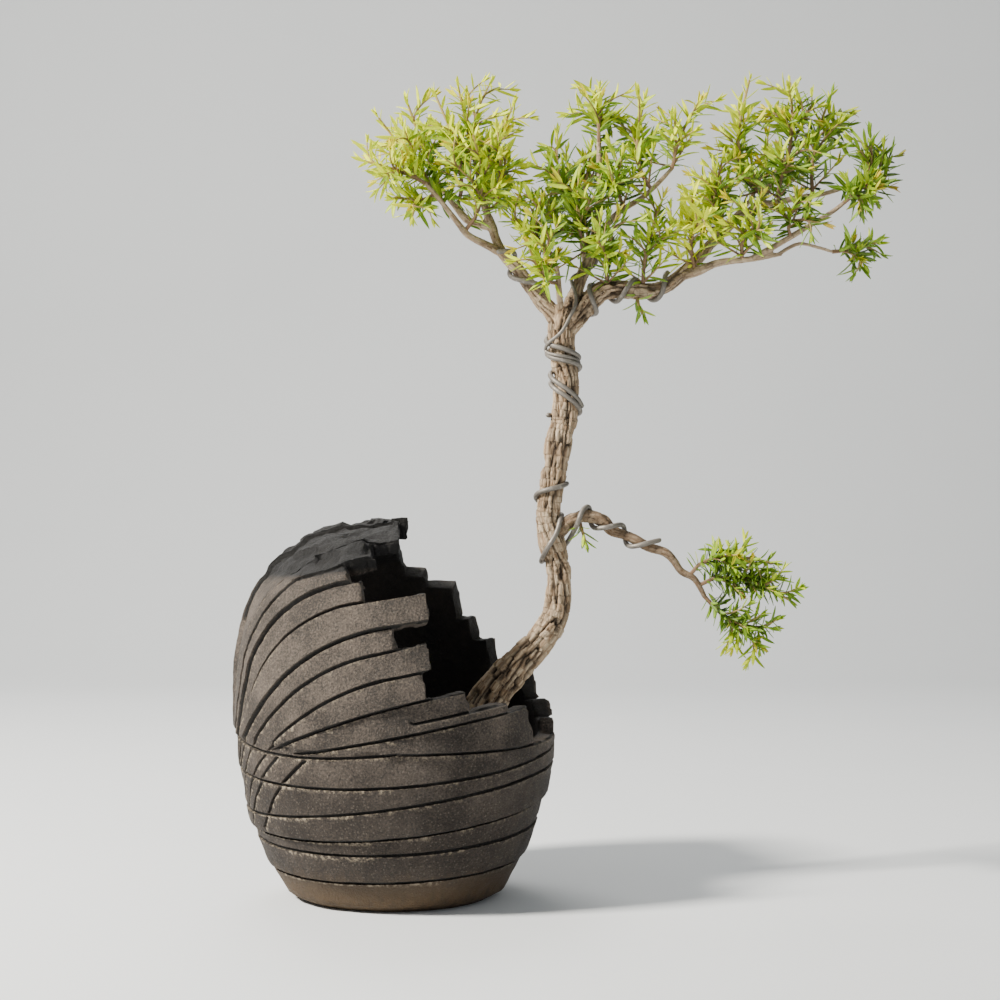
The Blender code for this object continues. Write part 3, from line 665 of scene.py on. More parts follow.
RINGS = (
    Score(0.0212, 0.03, 0.05),
    Score(0.0391, 0.04, 0.08),
    Score(0.0489, 0.09, 0.09),
    Score(0.0617, 0.14, 0.05),
    Score(0.0791, 0.06, 0.12),
)
FRONT_BELT = Score(0.0900, -0.02, 0.045, Side.FRONT, right_of=0.004)
FRONT_BELT_LEFT = Score(0.1021, 0.11, 0.19, Side.FRONT, left_of=0.004)
BACK_BELT = Score(0.0920, 0.04, -0.03, Side.BACK)
FRONT_FAN = (
    Score(0.0935, 0.19, 0.0, Side.FRONT, right_of=-0.046, left_of=0.075),
    Score(0.0985, 0.19, 0.0, Side.FRONT, right_of=0.015, left_of=0.075),
    Score(0.0842, 0.27, -0.28, Side.FRONT, above=0.086),
    Score(0.0472, 0.23, -0.88, Side.FRONT, above=0.044, level_from=0.001, rise=0.20),
    Score(0.0489, 0.16, -1.03, Side.FRONT, above=0.040, level_from=-0.004, rise=0.24),
    Score(0.0624, 0.20, -1.05, Side.FRONT, above=0.046, level_from=0.003, rise=0.15),
    Score(0.0313, -0.03, -1.69, Side.FRONT, above=0.070, level_from=-0.013, rise=0.16),
    Score(-0.0143, -0.35, -2.57, Side.FRONT, above=0.075, level_from=-0.026, rise=0.22),
    Score(0.0022, -0.14, -3.03, Side.FRONT, above=0.080, level_from=-0.048, rise=0.30),
)
FRONT_ENDS = (0.0745, 0.061, 0.042, 0.020, 0.0225, 0.0045, 0.0205, -0.013, -0.021, -0.010, 0.0035, 0.0060)
BACK_STEPS = (
    (0.103, 0.0785), (0.118, 0.057), (0.136, 0.045), (0.149, 0.035), (0.171, 0.0145), (0.178, 0.001),
    (0.194, -0.003),
)
BACK_END = 0.085
CROWN_END = 0.002
# Marks on the wall: score is where painted shade fills the scores, lip is where a painted highlight lies on
# their torn lips, and inner is where painted shade lies on the inside.
WALL_MARKS = ("score", "lip", "inner")
# Bumps of the outside, the inside, the strips' cut ends and the hood: each one's height, size and seed.
WALL_BUMPS = ((0.0007, 0.018, 0.0), (0.00045, 0.005, 3.0))
INNER_BUMPS = ((0.0004, 0.012, 2.0),)
END_BUMPS = ((0.0009, 0.004, 4.0), (0.0012, 0.009, 6.0))
PLANK_LUMPS = ((0.0030, 0.009, 7.0),)
PLANK_GRIT = ((0.0012, 0.004, 8.0),)
LATTICE = (
    Score(0.0083, 0.17, -1.07, Side.FRONT, above=0.042, below=0.0845),
    Score(0.0280, 0.17, -1.00, Side.FRONT, above=0.040, below=0.0845),
    Score(0.0150, 0.17, 1.00, Side.BACK, above=0.042, below=0.0845),
)


@dataclass
class StonewarePot:
    """A pot of lapped clay strips: a belly scored by rings, then a fan of strips and an open hood."""

    wall: float = 0.009
    cut_steps: int = 4
    # How much painted shade the inside takes.
    inner_shade: float = 0.8
    weld: float = 2e-5
    girth: float = 0.087
    girth_height: float = 0.095
    shoulder_height: float = 0.110
    top: float = 0.2037
    base_radius: float = 0.057
    foot_radius: float = 0.052
    foot_edge: float = 0.004
    dome_height: float = 0.094
    power_r: float = 2.2
    power_z: float = 2.7
    spin_steps: int = 200
    row_step: float = 0.0028
    score_width: float = 0.0019
    score_depth: float = 0.0021
    score_rows: tuple[float, ...] = (-0.5, -0.26, 0.26, 0.5)
    score_near: float = 0.005
    score_floor: float = 0.30
    score_lips: float = 0.56
    burr: float = 0.00045
    pale_to: float = 0.1
    half_pale_to: float = 0.165
    drain_radius: float = 0.005
    drain_circle: float = 0.026
    drain_turns: tuple[int, ...] = (90, 210, 330)
    drain_sides: int = 12
    drain_near: float = 0.012
    end_slant: float = 0.16
    end_near: float = 0.012
    end_rise: float = 0.004
    closed_to: float = -0.04
    flat: float = 0.002
    soil_line: float = 0.084
    wear_rounds: int = 3
    wear_way: Vector = field(default_factory=lambda: Vector((1.0, -0.2, 0.5)))
    plank_height: float = 0.179
    plank_fade: float = 0.006
    plank_width: float = 0.012
    plank_length: float = 0.026
    plank_step: float = 0.0013
    plank_stretch: float = 1.8
    proud: float = 0.0010
    proud_height: float = 0.013
    offset: float = 0.0009
    pole_height: float = 0.072
    fan_rise: float = 0.10
    fan_bottom: float = 0.074
    crown_bottom: float = 0.150
    clay: SandyStoneware = field(default_factory=SandyStoneware)

    def __post_init__(self) -> None:
        """Works out both fans: their lines from low to high, each as the planes that it runs along."""
        front_crown = Score(0.006, 0.0, -14.0, Side.FRONT, above=self.crown_bottom)
        back_crown = replace(front_crown, back=14.0, side=Side.BACK)
        steps = [self.through(height, reach, Side.BACK) for height, reach in BACK_STEPS]
        front = [FRONT_BELT, *FRONT_FAN, self.through(0.194, 0.004, Side.FRONT), front_crown]
        back = [BACK_BELT, *steps, back_crown]
        self.fans = {Side.FRONT: [self.planes(line) for line in front],
                     Side.BACK: [self.planes(line) for line in back]}
        back_ends = (BACK_END, *(reach for _, reach in BACK_STEPS), CROWN_END)
        self.ends = {Side.FRONT: FRONT_ENDS, Side.BACK: back_ends}
        fan_planes = [plane for fan in self.fans.values() for line in fan for plane in line]
        self.scores = [*RINGS, FRONT_BELT_LEFT, *LATTICE, *fan_planes]

    def through(self, height: float, reach: float, side: Side) -> Score:
        """A fan's line from the pole on the left to a step's edge, rising gently where it ends.

        Args:
            height: The step's height.
            reach: How far right the step is.
            side: The half of the wall.

        Returns:
            The plane.
        """
        radius = self.radius(height)
        depth = math.sqrt(radius**2 - reach**2)
        run = reach + self.girth
        climb, slope = height - self.pole_height, self.fan_rise * radius
        scale = run * reach + depth**2
        right = (climb * reach + depth * slope) / scale
        back = (depth * climb - run * slope) / scale * side.value
        return Score(self.pole_height + right * self.girth, right, back, side, above=self.fan_bottom)

    def planes(self, line: Score) -> list[Score]:
        """The line's own plane, and the gentler one that it runs along near its end, if it has one."""
        if line.level_from >= 1:
            return [line]
        height = self.crossing(line, line.level_from)
        gentle = replace(line, height=height - line.rise * line.level_from, right=line.rise, back=0.0,
                         right_of=line.level_from, level_from=1.0, above=BELT_Z)
        return [line, gentle]

    def crossing(self, plane: Score, x: float) -> float:
        """The height at which a plane crosses the outside wall at a distance to the right."""
        low, high = self.pole_height, self.top
        for _ in range(24):
            middle = (low + high) / 2
            depth = math.sqrt(max(self.radius(middle) ** 2 - x**2, 0))
            if plane.over(Vector((x, depth * plane.side.value, middle))) < 0:
                low = middle
            else:
                high = middle
        return (low + high) / 2

    def line_at(self, line: list[Score], x: float) -> Score:
        """The plane that a fan's line runs along at a distance to the right."""
        return line[-1] if x > line[0].level_from else line[0]

    def radius(self, height: float) -> float:
        """The outside radius at a height: a swelling belly, then a shoulder that closes into a hood."""
        if height <= self.girth_height:
            below = (self.girth_height - height) / self.girth_height
            return self.base_radius + (self.girth - self.base_radius) * (1 - below * below)
        if height <= self.shoulder_height:
            return self.girth
        rise = (height - self.shoulder_height) / (self.top - self.shoulder_height)
        return self.girth * max(1 - rise**self.power_z, 0) ** (1 / self.power_r)

    def profile(self) -> list[tuple[float, float]]:
        """The outside from the middle of the base to the crown, in rows of about row_step."""
        rows = round(self.foot_radius / self.row_step / 2)
        points = [(self.foot_radius * i / rows, 0.0) for i in range(rows + 1)]
        belly, hood = self.shoulder_height - self.foot_edge, self.top - self.shoulder_height
        steps, dome = round(belly / self.row_step), round(hood * 1.5 / self.row_step)
        heights = [self.foot_edge + belly * i / steps for i in range(steps)]
        heights += [self.shoulder_height + hood * math.sin(math.pi / 2 * i / dome) for i in range(dome)]
        points += [(self.radius(height), height) for height in heights]
        return [*points, (0.0, self.top)]

    def cut(self, bm: Shape, cuts: list[tuple[Vector, Vector]], near: Test) -> None:
        """Lays rows of edges where planes cross some of the faces.

        Args:
            bm: The wall.
            cuts: A point and the normal of each plane.
            near: Says from a face's middle whether it is cut.
        """
        faces = [face for face in bm.faces if near(face.calc_center_median())]
        edges = dict.fromkeys(edge for face in faces for edge in face.edges)
        verts = dict.fromkeys(vert for face in faces for vert in face.verts)
        geom = [*verts, *edges, *faces]
        for point, normal in cuts:
            geom = bmesh.ops.bisect_plane(bm, geom=geom, dist=self.weld, plane_co=point,
                                          plane_no=normal)["geom"]

    def lay_scores(self, bm: Shape) -> None:
        """Gives each score four rows of edges: its two lips and the two edges of its floor."""
        for score in self.scores:
            normal = score.normal()
            cuts = [(Vector((0, 0, score.height)) + normal * (share * self.score_width), normal)
                    for share in self.score_rows]

            def near(middle: Vector, score: Score = score) -> bool:
                return abs(score.over(middle)) < self.score_near and score.reaches(middle)

            self.cut(bm, cuts, near)

    def strip(self, point: Vector) -> int:
        """Which strip of the fan a point is on, or -1 below it, counting lines up to one not passed."""
        fan = self.fans[Side.FRONT if point.y < 0 else Side.BACK]
        for number, line in enumerate(fan):
            if self.line_at(line, point.x).over(point) <= 0:
                return number - 1
        return len(fan) - 1

    def open_side(self, bm: Shape) -> None:
        """Cuts each strip off square to its run and takes away what lies to the right."""
        slant = Vector((math.cos(self.end_slant), 0, math.sin(self.end_slant)))
        for side, ends in self.ends.items():
            for number, end in enumerate(ends):
                lower = self.line_at(self.fans[side][number], end)
                origin = Vector((end, 0, self.crossing(lower, end) + self.end_rise))

                def on_strip(middle: Vector, number: int = number, side: Side = side) -> bool:
                    beside = middle.y * side.value > 0 and middle.x > self.closed_to
                    return beside and self.strip(middle) == number

                def near(middle: Vector, end: float = end, on_strip: Test = on_strip) -> bool:
                    return abs(middle.x - end) < self.end_near and on_strip(middle)

                self.cut(bm, [(origin, slant)], near)
                gone = [face for face in bm.faces
                        if (middle := face.calc_center_median()).x > end - self.end_near
                        and (middle - origin).dot(slant) > 0 and on_strip(middle)]
                bmesh.ops.delete(bm, geom=gone, context="FACES")
        loose = [vert for vert in bm.verts if not vert.link_faces]
        bmesh.ops.delete(bm, geom=loose, context="VERTS")

    def drill_drains(self, bm: Shape) -> None:
        """Cuts the drain holes through the flat base, each by the sides of a regular polygon."""
        outward = [around(math.tau * side / self.drain_sides) for side in range(self.drain_sides)]
        for turn in self.drain_turns:
            middle = around(math.radians(turn)) * self.drain_circle

            def near(at: Vector, reach: float = self.drain_near, middle: Vector = middle) -> bool:
                return at.z < self.flat / 2 and (at - middle).length < reach

            self.cut(bm, [(middle + away * self.drain_radius, away) for away in outward], near)
            reach = self.drain_radius * 0.985
            inside = [face for face in bm.faces if near(face.calc_center_median(), reach)]
            bmesh.ops.delete(bm, geom=inside, context="FACES")

    def groove(self, point: Vector) -> tuple[float, float, float]:
        """What the scores do to a point of the wall.

        Returns:
            How far it moves out, how much it lies in a groove, and how much painted highlight it takes on a
            groove's torn lip.
        """
        for score in self.scores:
            over = score.over(point)
            if abs(over) > self.score_lips * self.score_width or not score.reaches(point):
                continue
            if abs(over) < self.score_floor * self.score_width:
                return -self.score_depth * (0.75 + 0.5 * bumps(point, 0.012, 11)), 1.0, 0.0
            if over > 0:
                break
            # How much painted highlight a lip takes, by height.
            pale = 1.0 if point.z < self.pale_to else 0.5 if point.z < self.half_pale_to else 0.0
            return self.burr * max(bumps(point, 0.004, 5) + 0.2, 0), 0.0, pale
        return 0.0, 0.0, 0.0

    def outward(self, point: Vector) -> Vector:
        """The way out of the wall at a point: level up to the shoulder, then more and more upwards."""
        level = Vector((point.x, point.y, 0)).normalized()
        if point.z <= self.shoulder_height:
            return level
        return (level + UP * 1.3 * ((point.z - self.shoulder_height) / self.dome_height) ** 2).normalized()

    def weather(self, bm: Shape, outside: int) -> None:
        """Sinks the scores, lifts their lips, sets strips a little proud of each other and roughens them.

        Args:
            bm: The thick wall.
            outside: How many of its first vertices are on the outside.
        """
        marks = [bm.verts.layers.float[name] for name in WALL_MARKS]
        moves = []
        for i, vert in enumerate(bm.verts):
            point = vert.co
            shift, score, lip, inner = 0.0, 0.0, 0.0, 0.0
            if i >= outside:
                shift = relief(point, INNER_BUMPS)
                # Painted shade on the inside skin and on the far side's cut ends.
                inner = self.inner_shade if i < 2 * outside or point.y > 0 else 0.0
            elif point.z > self.flat:
                change, score, lip = self.groove(point)
                shift = self.lap(point) + relief(point, WALL_BUMPS) + self.hood_planks(point) + change
            for mark, value in zip(marks, (score, lip, inner)):
                vert[mark] = value
            moves.append(self.outward(point) * shift)
        for vert, move in zip(bm.verts, moves):
            vert.co += move

    def hood_planks(self, point: Vector) -> float:
        """How far the hood's split planks stand out at a point: long lumps with steps between."""
        share = min(max((point.z - 0.1 * point.x - self.plank_height) / self.plank_fade, 0), 1)
        if not share:
            return 0.0
        plank = math.floor((point.y + 0.3 * point.x) / self.plank_width)
        length = math.floor((point.x + self.plank_length / 2 * plank) / self.plank_length)
        level = self.plank_step * math.sin(7.1 * plank + 3.3 * length)
        stretched = Vector((point.x / self.plank_stretch, point.y, point.z))
        return share * (level + relief(stretched, PLANK_LUMPS) + relief(point, PLANK_GRIT))

    def lap(self, point: Vector) -> float:
        """How far a strip stands out at a point: most at its lower edge, and each a little differently."""
        if point.z < self.girth_height - 0.01:
            number = sum(ring.over(point) > 0 for ring in RINGS)
            lower = RINGS[number - 1] if number else None
        else:
            fan = self.fans[Side.FRONT if point.y < 0 else Side.BACK]
            number = self.strip(point)
            lower = self.line_at(fan[number], point.x) if number >= 0 else RINGS[-1]
        proud = self.proud * max(1 - lower.over(point) / self.proud_height, 0) if lower else 0.0
        offset = self.offset * math.sin(number * 2.4 + (point.y > 0))
        return proud + offset * min((point.z - self.flat) / 0.03, 1)

    def beside(self, vert: Vert) -> list[Vert]:
        """The vertices that share an edge with one."""
        return [edge.other_vert(vert) for edge in vert.link_edges]

    def wear_ends(self, ends: list[Vert]) -> None:
        """Rounds the strips' cut ends, which join the outside to the inside, and breaks their surface."""
        for _ in range(self.wear_rounds):
            eased = []
            for vert in ends:
                near = self.beside(vert)
                eased.append(vert.co.lerp(sum((other.co for other in near), Vector()) / len(near), 0.5))
            for vert, place in zip(ends, eased):
                vert.co = place
        for vert in ends:
            vert.co += self.wear_way * relief(vert.co, END_BUMPS)

    def build(self) -> Piece:
        """Models the pot.

        Returns:
            The pot's piece.
        """
        bm = turned_profile(self.profile(), self.spin_steps)
        self.lay_scores(bm)
        self.open_side(bm)
        self.drill_drains(bm)
        bmesh.ops.dissolve_degenerate(bm, edges=bm.edges, dist=self.weld)
        outside = len(bm.verts)
        bm = settled("wall", bm, "SOLIDIFY", thickness=self.wall, offset=-1, use_even_offset=False)
        for name in WALL_MARKS:
            bm.verts.layers.float.new(name)
        bm.verts.index_update()
        through = [edge for edge in bm.edges
                   if (edge.verts[0].index < outside) != (edge.verts[1].index < outside)]
        made = bmesh.ops.subdivide_edges(bm, edges=through, cuts=self.cut_steps, use_grid_fill=True)
        middles = [item for item in made["geom_inner"] if isinstance(item, Vert)]
        ends = dict.fromkeys(vert for middle in middles for vert in (middle, *self.beside(middle)))
        self.weather(bm, outside)
        self.wear_ends([vert for vert in ends if vert.co.z > self.soil_line])
        return as_object("stoneware_pot", bm, self.clay.material())

    def dress(self) -> None:
        """Builds the pot and places it."""
        place_piece(self.build(), "stoneware", "pot")


# ------------------------------------------------------------------------------------- soil and drainage


@dataclass
class GritSoil:
    """The soil: a crowned bed in the pot's belly with loose grains of grit over it."""

    pot: StonewarePot
    bottom: float = 0.0113
    edge: float = 0.083
    crown: float = 0.088
    gap: float = 0.0006
    rows: int = 14
    top_rows: int = 20
    spin_steps: int = 96
    seed: int = 7
    grain_count: int = 1500
    handful_size: int = 50
    grain_sizes: tuple[float, float] = (0.0013, 0.0030)
    finish: GrittySoil = field(default_factory=GrittySoil)

    def inside_radius(self, height: float) -> float:
        """The wall's inside radius at a height, less a small gap."""
        pot = self.pot
        slope = 2 * (pot.girth - pot.base_radius) * max(pot.girth_height - height, 0) / pot.girth_height**2
        return pot.radius(height) - pot.wall * math.sqrt(1 + slope * slope) - self.gap

    def surface(self, radius: float) -> float:
        """The soil's height at a distance from the axis."""
        share = min(radius / self.inside_radius(self.edge), 1)
        return self.crown - (self.crown - self.edge) * share**3

    def build_bed(self) -> Piece:
        """The body of the soil, uneven on top."""
        rise = (self.edge - self.bottom) / self.rows
        heights = [self.bottom + rise * i for i in range(self.rows + 1)]
        sides = [(self.inside_radius(height), height) for height in heights]
        rim = self.inside_radius(self.edge)
        across = [rim * (1 - i / self.top_rows) for i in range(1, self.top_rows)]
        top = [(radius, self.surface(radius)) for radius in across]
        bm = turned_profile([(0, self.bottom), *sides, *top, (0, self.crown)], self.spin_steps)
        kind = bm.verts.layers.float.new("kind")
        for vert in bm.verts:
            vert[kind] = 0.45 + 0.3 * bumps(vert.co, 0.006)
            if vert.co.z > self.edge - 0.001:
                vert.co.z += 0.0009 * bumps(vert.co, 0.005) - 0.0008
        return as_object("soil_bed", bm, self.finish.material())

    def handful(self, draw: random.Random, count: int) -> Shape:
        """A few loose angular grains, scattered over the bed.

        Args:
            draw: Random numbers.
            count: How many.

        Returns:
            The grains.
        """
        bm = bmesh.new()
        kind = bm.verts.layers.float.new("kind")
        for _ in range(count):
            radius = (self.inside_radius(self.edge) - 0.003) * math.sqrt(draw.random())
            turn = draw.uniform(0, math.tau)
            size = draw.uniform(*self.grain_sizes)
            made = bmesh.ops.create_icosphere(bm, subdivisions=1, radius=size / 2)["verts"]
            squash = Matrix.Diagonal((1, draw.uniform(0.7, 1), draw.uniform(0.6, 0.9), 1))
            axis = Vector((draw.random(), draw.random(), 1)).normalized()
            tumble = Matrix.Rotation(draw.uniform(0, math.tau), 4, axis)
            place = around(turn, radius, self.surface(radius) + draw.uniform(-0.0002, 0.0009))
            bmesh.ops.transform(bm, matrix=Matrix.Translation(place) @ tumble @ squash, verts=made)
            sort = draw.random()
            for vert in made:
                vert[kind] = sort
                vert.co += Vector(draw.uniform(-1, 1) for _ in range(3)) * size * 0.07
        return bm

    def build_grains(self, material: Material) -> Piece:
        """All the loose grains, made a handful at a time."""
        draw = random.Random(self.seed)
        whole = bmesh.new()
        whole.verts.layers.float.new("kind")
        for _ in range(self.grain_count // self.handful_size):
            part = self.handful(draw, self.handful_size)
            mesh = bpy.data.meshes.new("handful")
            part.to_mesh(mesh)
            part.free()
            whole.from_mesh(mesh)
            bpy.data.meshes.remove(mesh)
        return as_object("soil_grains", whole, material, smooth=False)

    def dress(self) -> None:
        """Builds and places both pieces of the soil."""
        bed = place_piece(self.build_bed(), "soil", "soil")
        place_piece(self.build_grains(bed.data.materials[0]), "soil")


@dataclass
class DrainageNet:
    """A square of moulded net on the pot's floor, over the drain holes."""

    side: float = 0.064
    thick: float = 0.0012
    floor: float = 0.009
    gap: float = 0.0003
    cells: int = 16
    bar_share: float = 0.18
    finish: MeshPlastic = field(default_factory=MeshPlastic)

    def build(self) -> Piece:
        """Models the net: a grid of cells, each inset and opened, with the bars thickened."""
        bm = bmesh.new()
        bmesh.ops.create_grid(bm, x_segments=self.cells, y_segments=self.cells, size=self.side / 2)
        cell = self.side / self.cells
        openings = list(bm.faces)
        bmesh.ops.inset_individual(bm, faces=openings, thickness=cell * self.bar_share, depth=0)
        bmesh.ops.delete(bm, geom=openings, context="FACES")
        bmesh.ops.translate(bm, verts=bm.verts, vec=(0, 0, self.floor + self.gap + self.thick))
        bm = settled("net", bm, "SOLIDIFY", thickness=self.thick, offset=-1)
        for vert in bm.verts:
            vert.co.z += 0.00008 * bumps(vert.co, 0.004)
        return as_object("drainage_net", bm, self.finish.material())

    def dress(self) -> None:
        """Builds and places the net."""
        place_piece(self.build(), "mesh_plastic", "drainage_mesh")


# ------------------------------------------------------------------------------------------------ the wood


@dataclass(frozen=True)
class Limb:
    """A grown stem in millimetres: its middle, its radii there or at its ends, its youth and the painted
    shade on its bark.
    """

    points: tuple[Triple, ...]
    radii: tuple[float, ...]
    youth: float = 0.0
    shade: float = 0.0

    def route(self) -> list[Vector]:
        """Its points in metres."""
        return [Vector(point) * MM for point in self.points]

    def widths(self) -> list[float]:
        """One radius for each point, in metres."""
        if len(self.radii) == len(self.points):
            return [radius * MM for radius in self.radii]
        last = len(self.points) - 1
        first, final = self.radii
        return [(first + (final - first) * i / last) * MM for i in range(last + 1)]

    def dense(self, steps: int) -> tuple[list[Vector], list[float]]:
        """Its smooth route and the radii along it, with so many steps to a span."""
        widths = rounded_route([Vector((width, 0, 0)) for width in self.widths()], steps)
        return rounded_route(self.route(), steps), [width.x for width in widths]

    def at(self, along: float) -> tuple[Vector, Vector, float]:
        """Place, direction and radius at a share of the limb's length."""
        points, radii = self.route(), self.widths()
        lengths = [(b - a).length for a, b in zip(points, points[1:])]
        left = along * sum(lengths)
        span = 0
        while span < len(lengths) - 1 and left > lengths[span]:
            left -= lengths[span]
            span += 1
        share = min(left / lengths[span], 1)
        place = points[span].lerp(points[span + 1], share)
        radius = radii[span] + (radii[span + 1] - radii[span]) * share
        return place, (points[span + 1] - points[span]).normalized(), radius


LIMBS = {
    "trunk": Limb(
        ((30, 2, 66), (37, 2, 84), (46, 1, 99), (56, 0, 113), (66, 0, 124.5), (79, 0, 138),
         (86.5, 1, 150), (89.5, 1, 162), (89, 1, 180), (85.5, 0, 193), (83.5, 0, 205), (84.5, -1, 216),
         (86.4, -1, 228), (89.5, 0, 248), (92.5, 1, 258), (93.5, 1, 271), (93.5, 1, 283),
         (91.8, 0, 297), (91, 0, 311), (93.5, 0, 321)),
        (12.5, 12.0, 10.8, 9.5, 8.6, 7.6, 7.0, 6.6, 6.3, 6.8, 6.1, 6.1, 6.4, 6.9, 6.4, 6.9, 7.0, 6.2,
         7.4, 6.6)),
    "root_right": Limb(((40, -2, 88), (52, -14, 80), (62, -24, 66)), (6, 3)),
    "root_back": Limb(((36, 4, 86), (44, 20, 78), (50, 36, 62)), (6, 3)),
    "root_left": Limb(((34, 0, 84), (18, -8, 77), (2, -14, 60)), (6, 3)),
    "left_limb": Limb(
        ((92.5, 0, 308), (87, 0, 317), (80, 0, 325), (73.5, -1, 333.5), (67, -2, 342), (59, -2, 350.5),
         (55.5, -1, 358), (51, 0, 370.5), (47.5, 0, 382), (45, 1, 394)),
        (5.0, 1.5), 0.25),
    "left_front": Limb(
        ((57.5, -2, 351.5), (50, -6, 355), (40, -11, 359.5), (34, -15, 366), (25, -19, 377),
         (16.5, -21, 386.5)),
        (2.5, 1.2), 0.5),
    "left_middle": Limb(((51.5, 0, 366.5), (40, 4, 370), (32, 9, 379.5), (25, 13, 389)), (2.8, 1.3), 0.5),
    "left_back": Limb(((54, 0, 362.5), (52, 9, 371), (48, 17, 381), (47, 24, 392)), (2.6, 1.3), 0.5),
    "middle_stem": Limb(
        ((93, 1, 312), (98, 2, 328), (104, 3, 343), (108.5, 4, 354), (111, 4, 370), (112.5, 4, 387),
         (112, 2, 400), (111.5, 0, 413)),
        (4.2, 1.4), 0.35),
    "middle_left": Limb(
        ((91.5, -3, 314), (89.5, -7, 328), (88.5, -9, 340), (85, -11, 350)),
        (2.1, 1.2), 0.6),
    "middle_back": Limb(
        ((105, 3, 346), (103.5, 14, 357), (103, 22, 371), (104.5, 27, 386)),
        (2.2, 1.2), 0.5),
    "middle_right": Limb(
        ((109.5, 4, 358.5), (115, 0, 366), (123, -3, 374), (135, -6, 381), (144, -8, 389),
         (151.5, -9, 397)),
        (2.2, 1.2), 0.55),
    "right_limb": Limb(
        ((93.5, 0, 311), (100, 0, 317.5), (105.5, 0, 324.5), (114, -1, 330.5), (123, -2, 331.5),
         (133, -2, 330.5), (145, -2, 331.5), (154.5, -2, 337.5), (164, -1, 346.5), (175.5, 0, 359),
         (188, 0, 370.5), (198, 0, 377.5), (207.5, 0, 393), (216, 0, 405)),
        (6.2, 1.5), 0.3),
    "right_branch": Limb(
        ((198.5, 0, 378), (209, -3, 379), (221, -6, 381), (233, -8, 382.5), (246, -10, 386)),
        (2.2, 1.2), 0.7),
    "right_low": Limb(
        ((156, -2, 338.5), (166, -6, 341), (176.5, -9, 345), (194, -12, 346.5), (210, -14, 349)),
        (2.9, 1.3), 0.6),
    "right_low_up": Limb(
        ((195, -12, 347), (206, -15, 353), (220, -18, 361), (236, -20, 370.5), (243, -21, 376)),
        (2.0, 1.2), 0.7),
    "right_back": Limb(((172, 0, 355), (179, 11, 364), (189, 20, 375), (199, 27, 386)), (2.6, 1.3), 0.6),
    "right_twig": Limb(
        ((208, -13.8, 348.7), (219, -13, 354.5), (230, -11, 353), (239, -10, 350.5)),
        (1.2, 1.0), 0.8),
    # The lower limb's bark takes painted shade.
    "lower_limb": Limb(
        ((85, 0, 193), (90, -1, 199), (96, -2, 204.5), (104.5, -2, 207), (113.5, -1, 204.5),
         (119, 0, 199), (128.5, 0, 195.5), (139, -1, 190), (148, -2, 187), (153, -1, 182),
         (157, 0, 176.5), (163.5, 0, 173), (167, 0, 168), (170, 0, 162)),
        (4.2, 1.4), 0.0, 0.8),
}


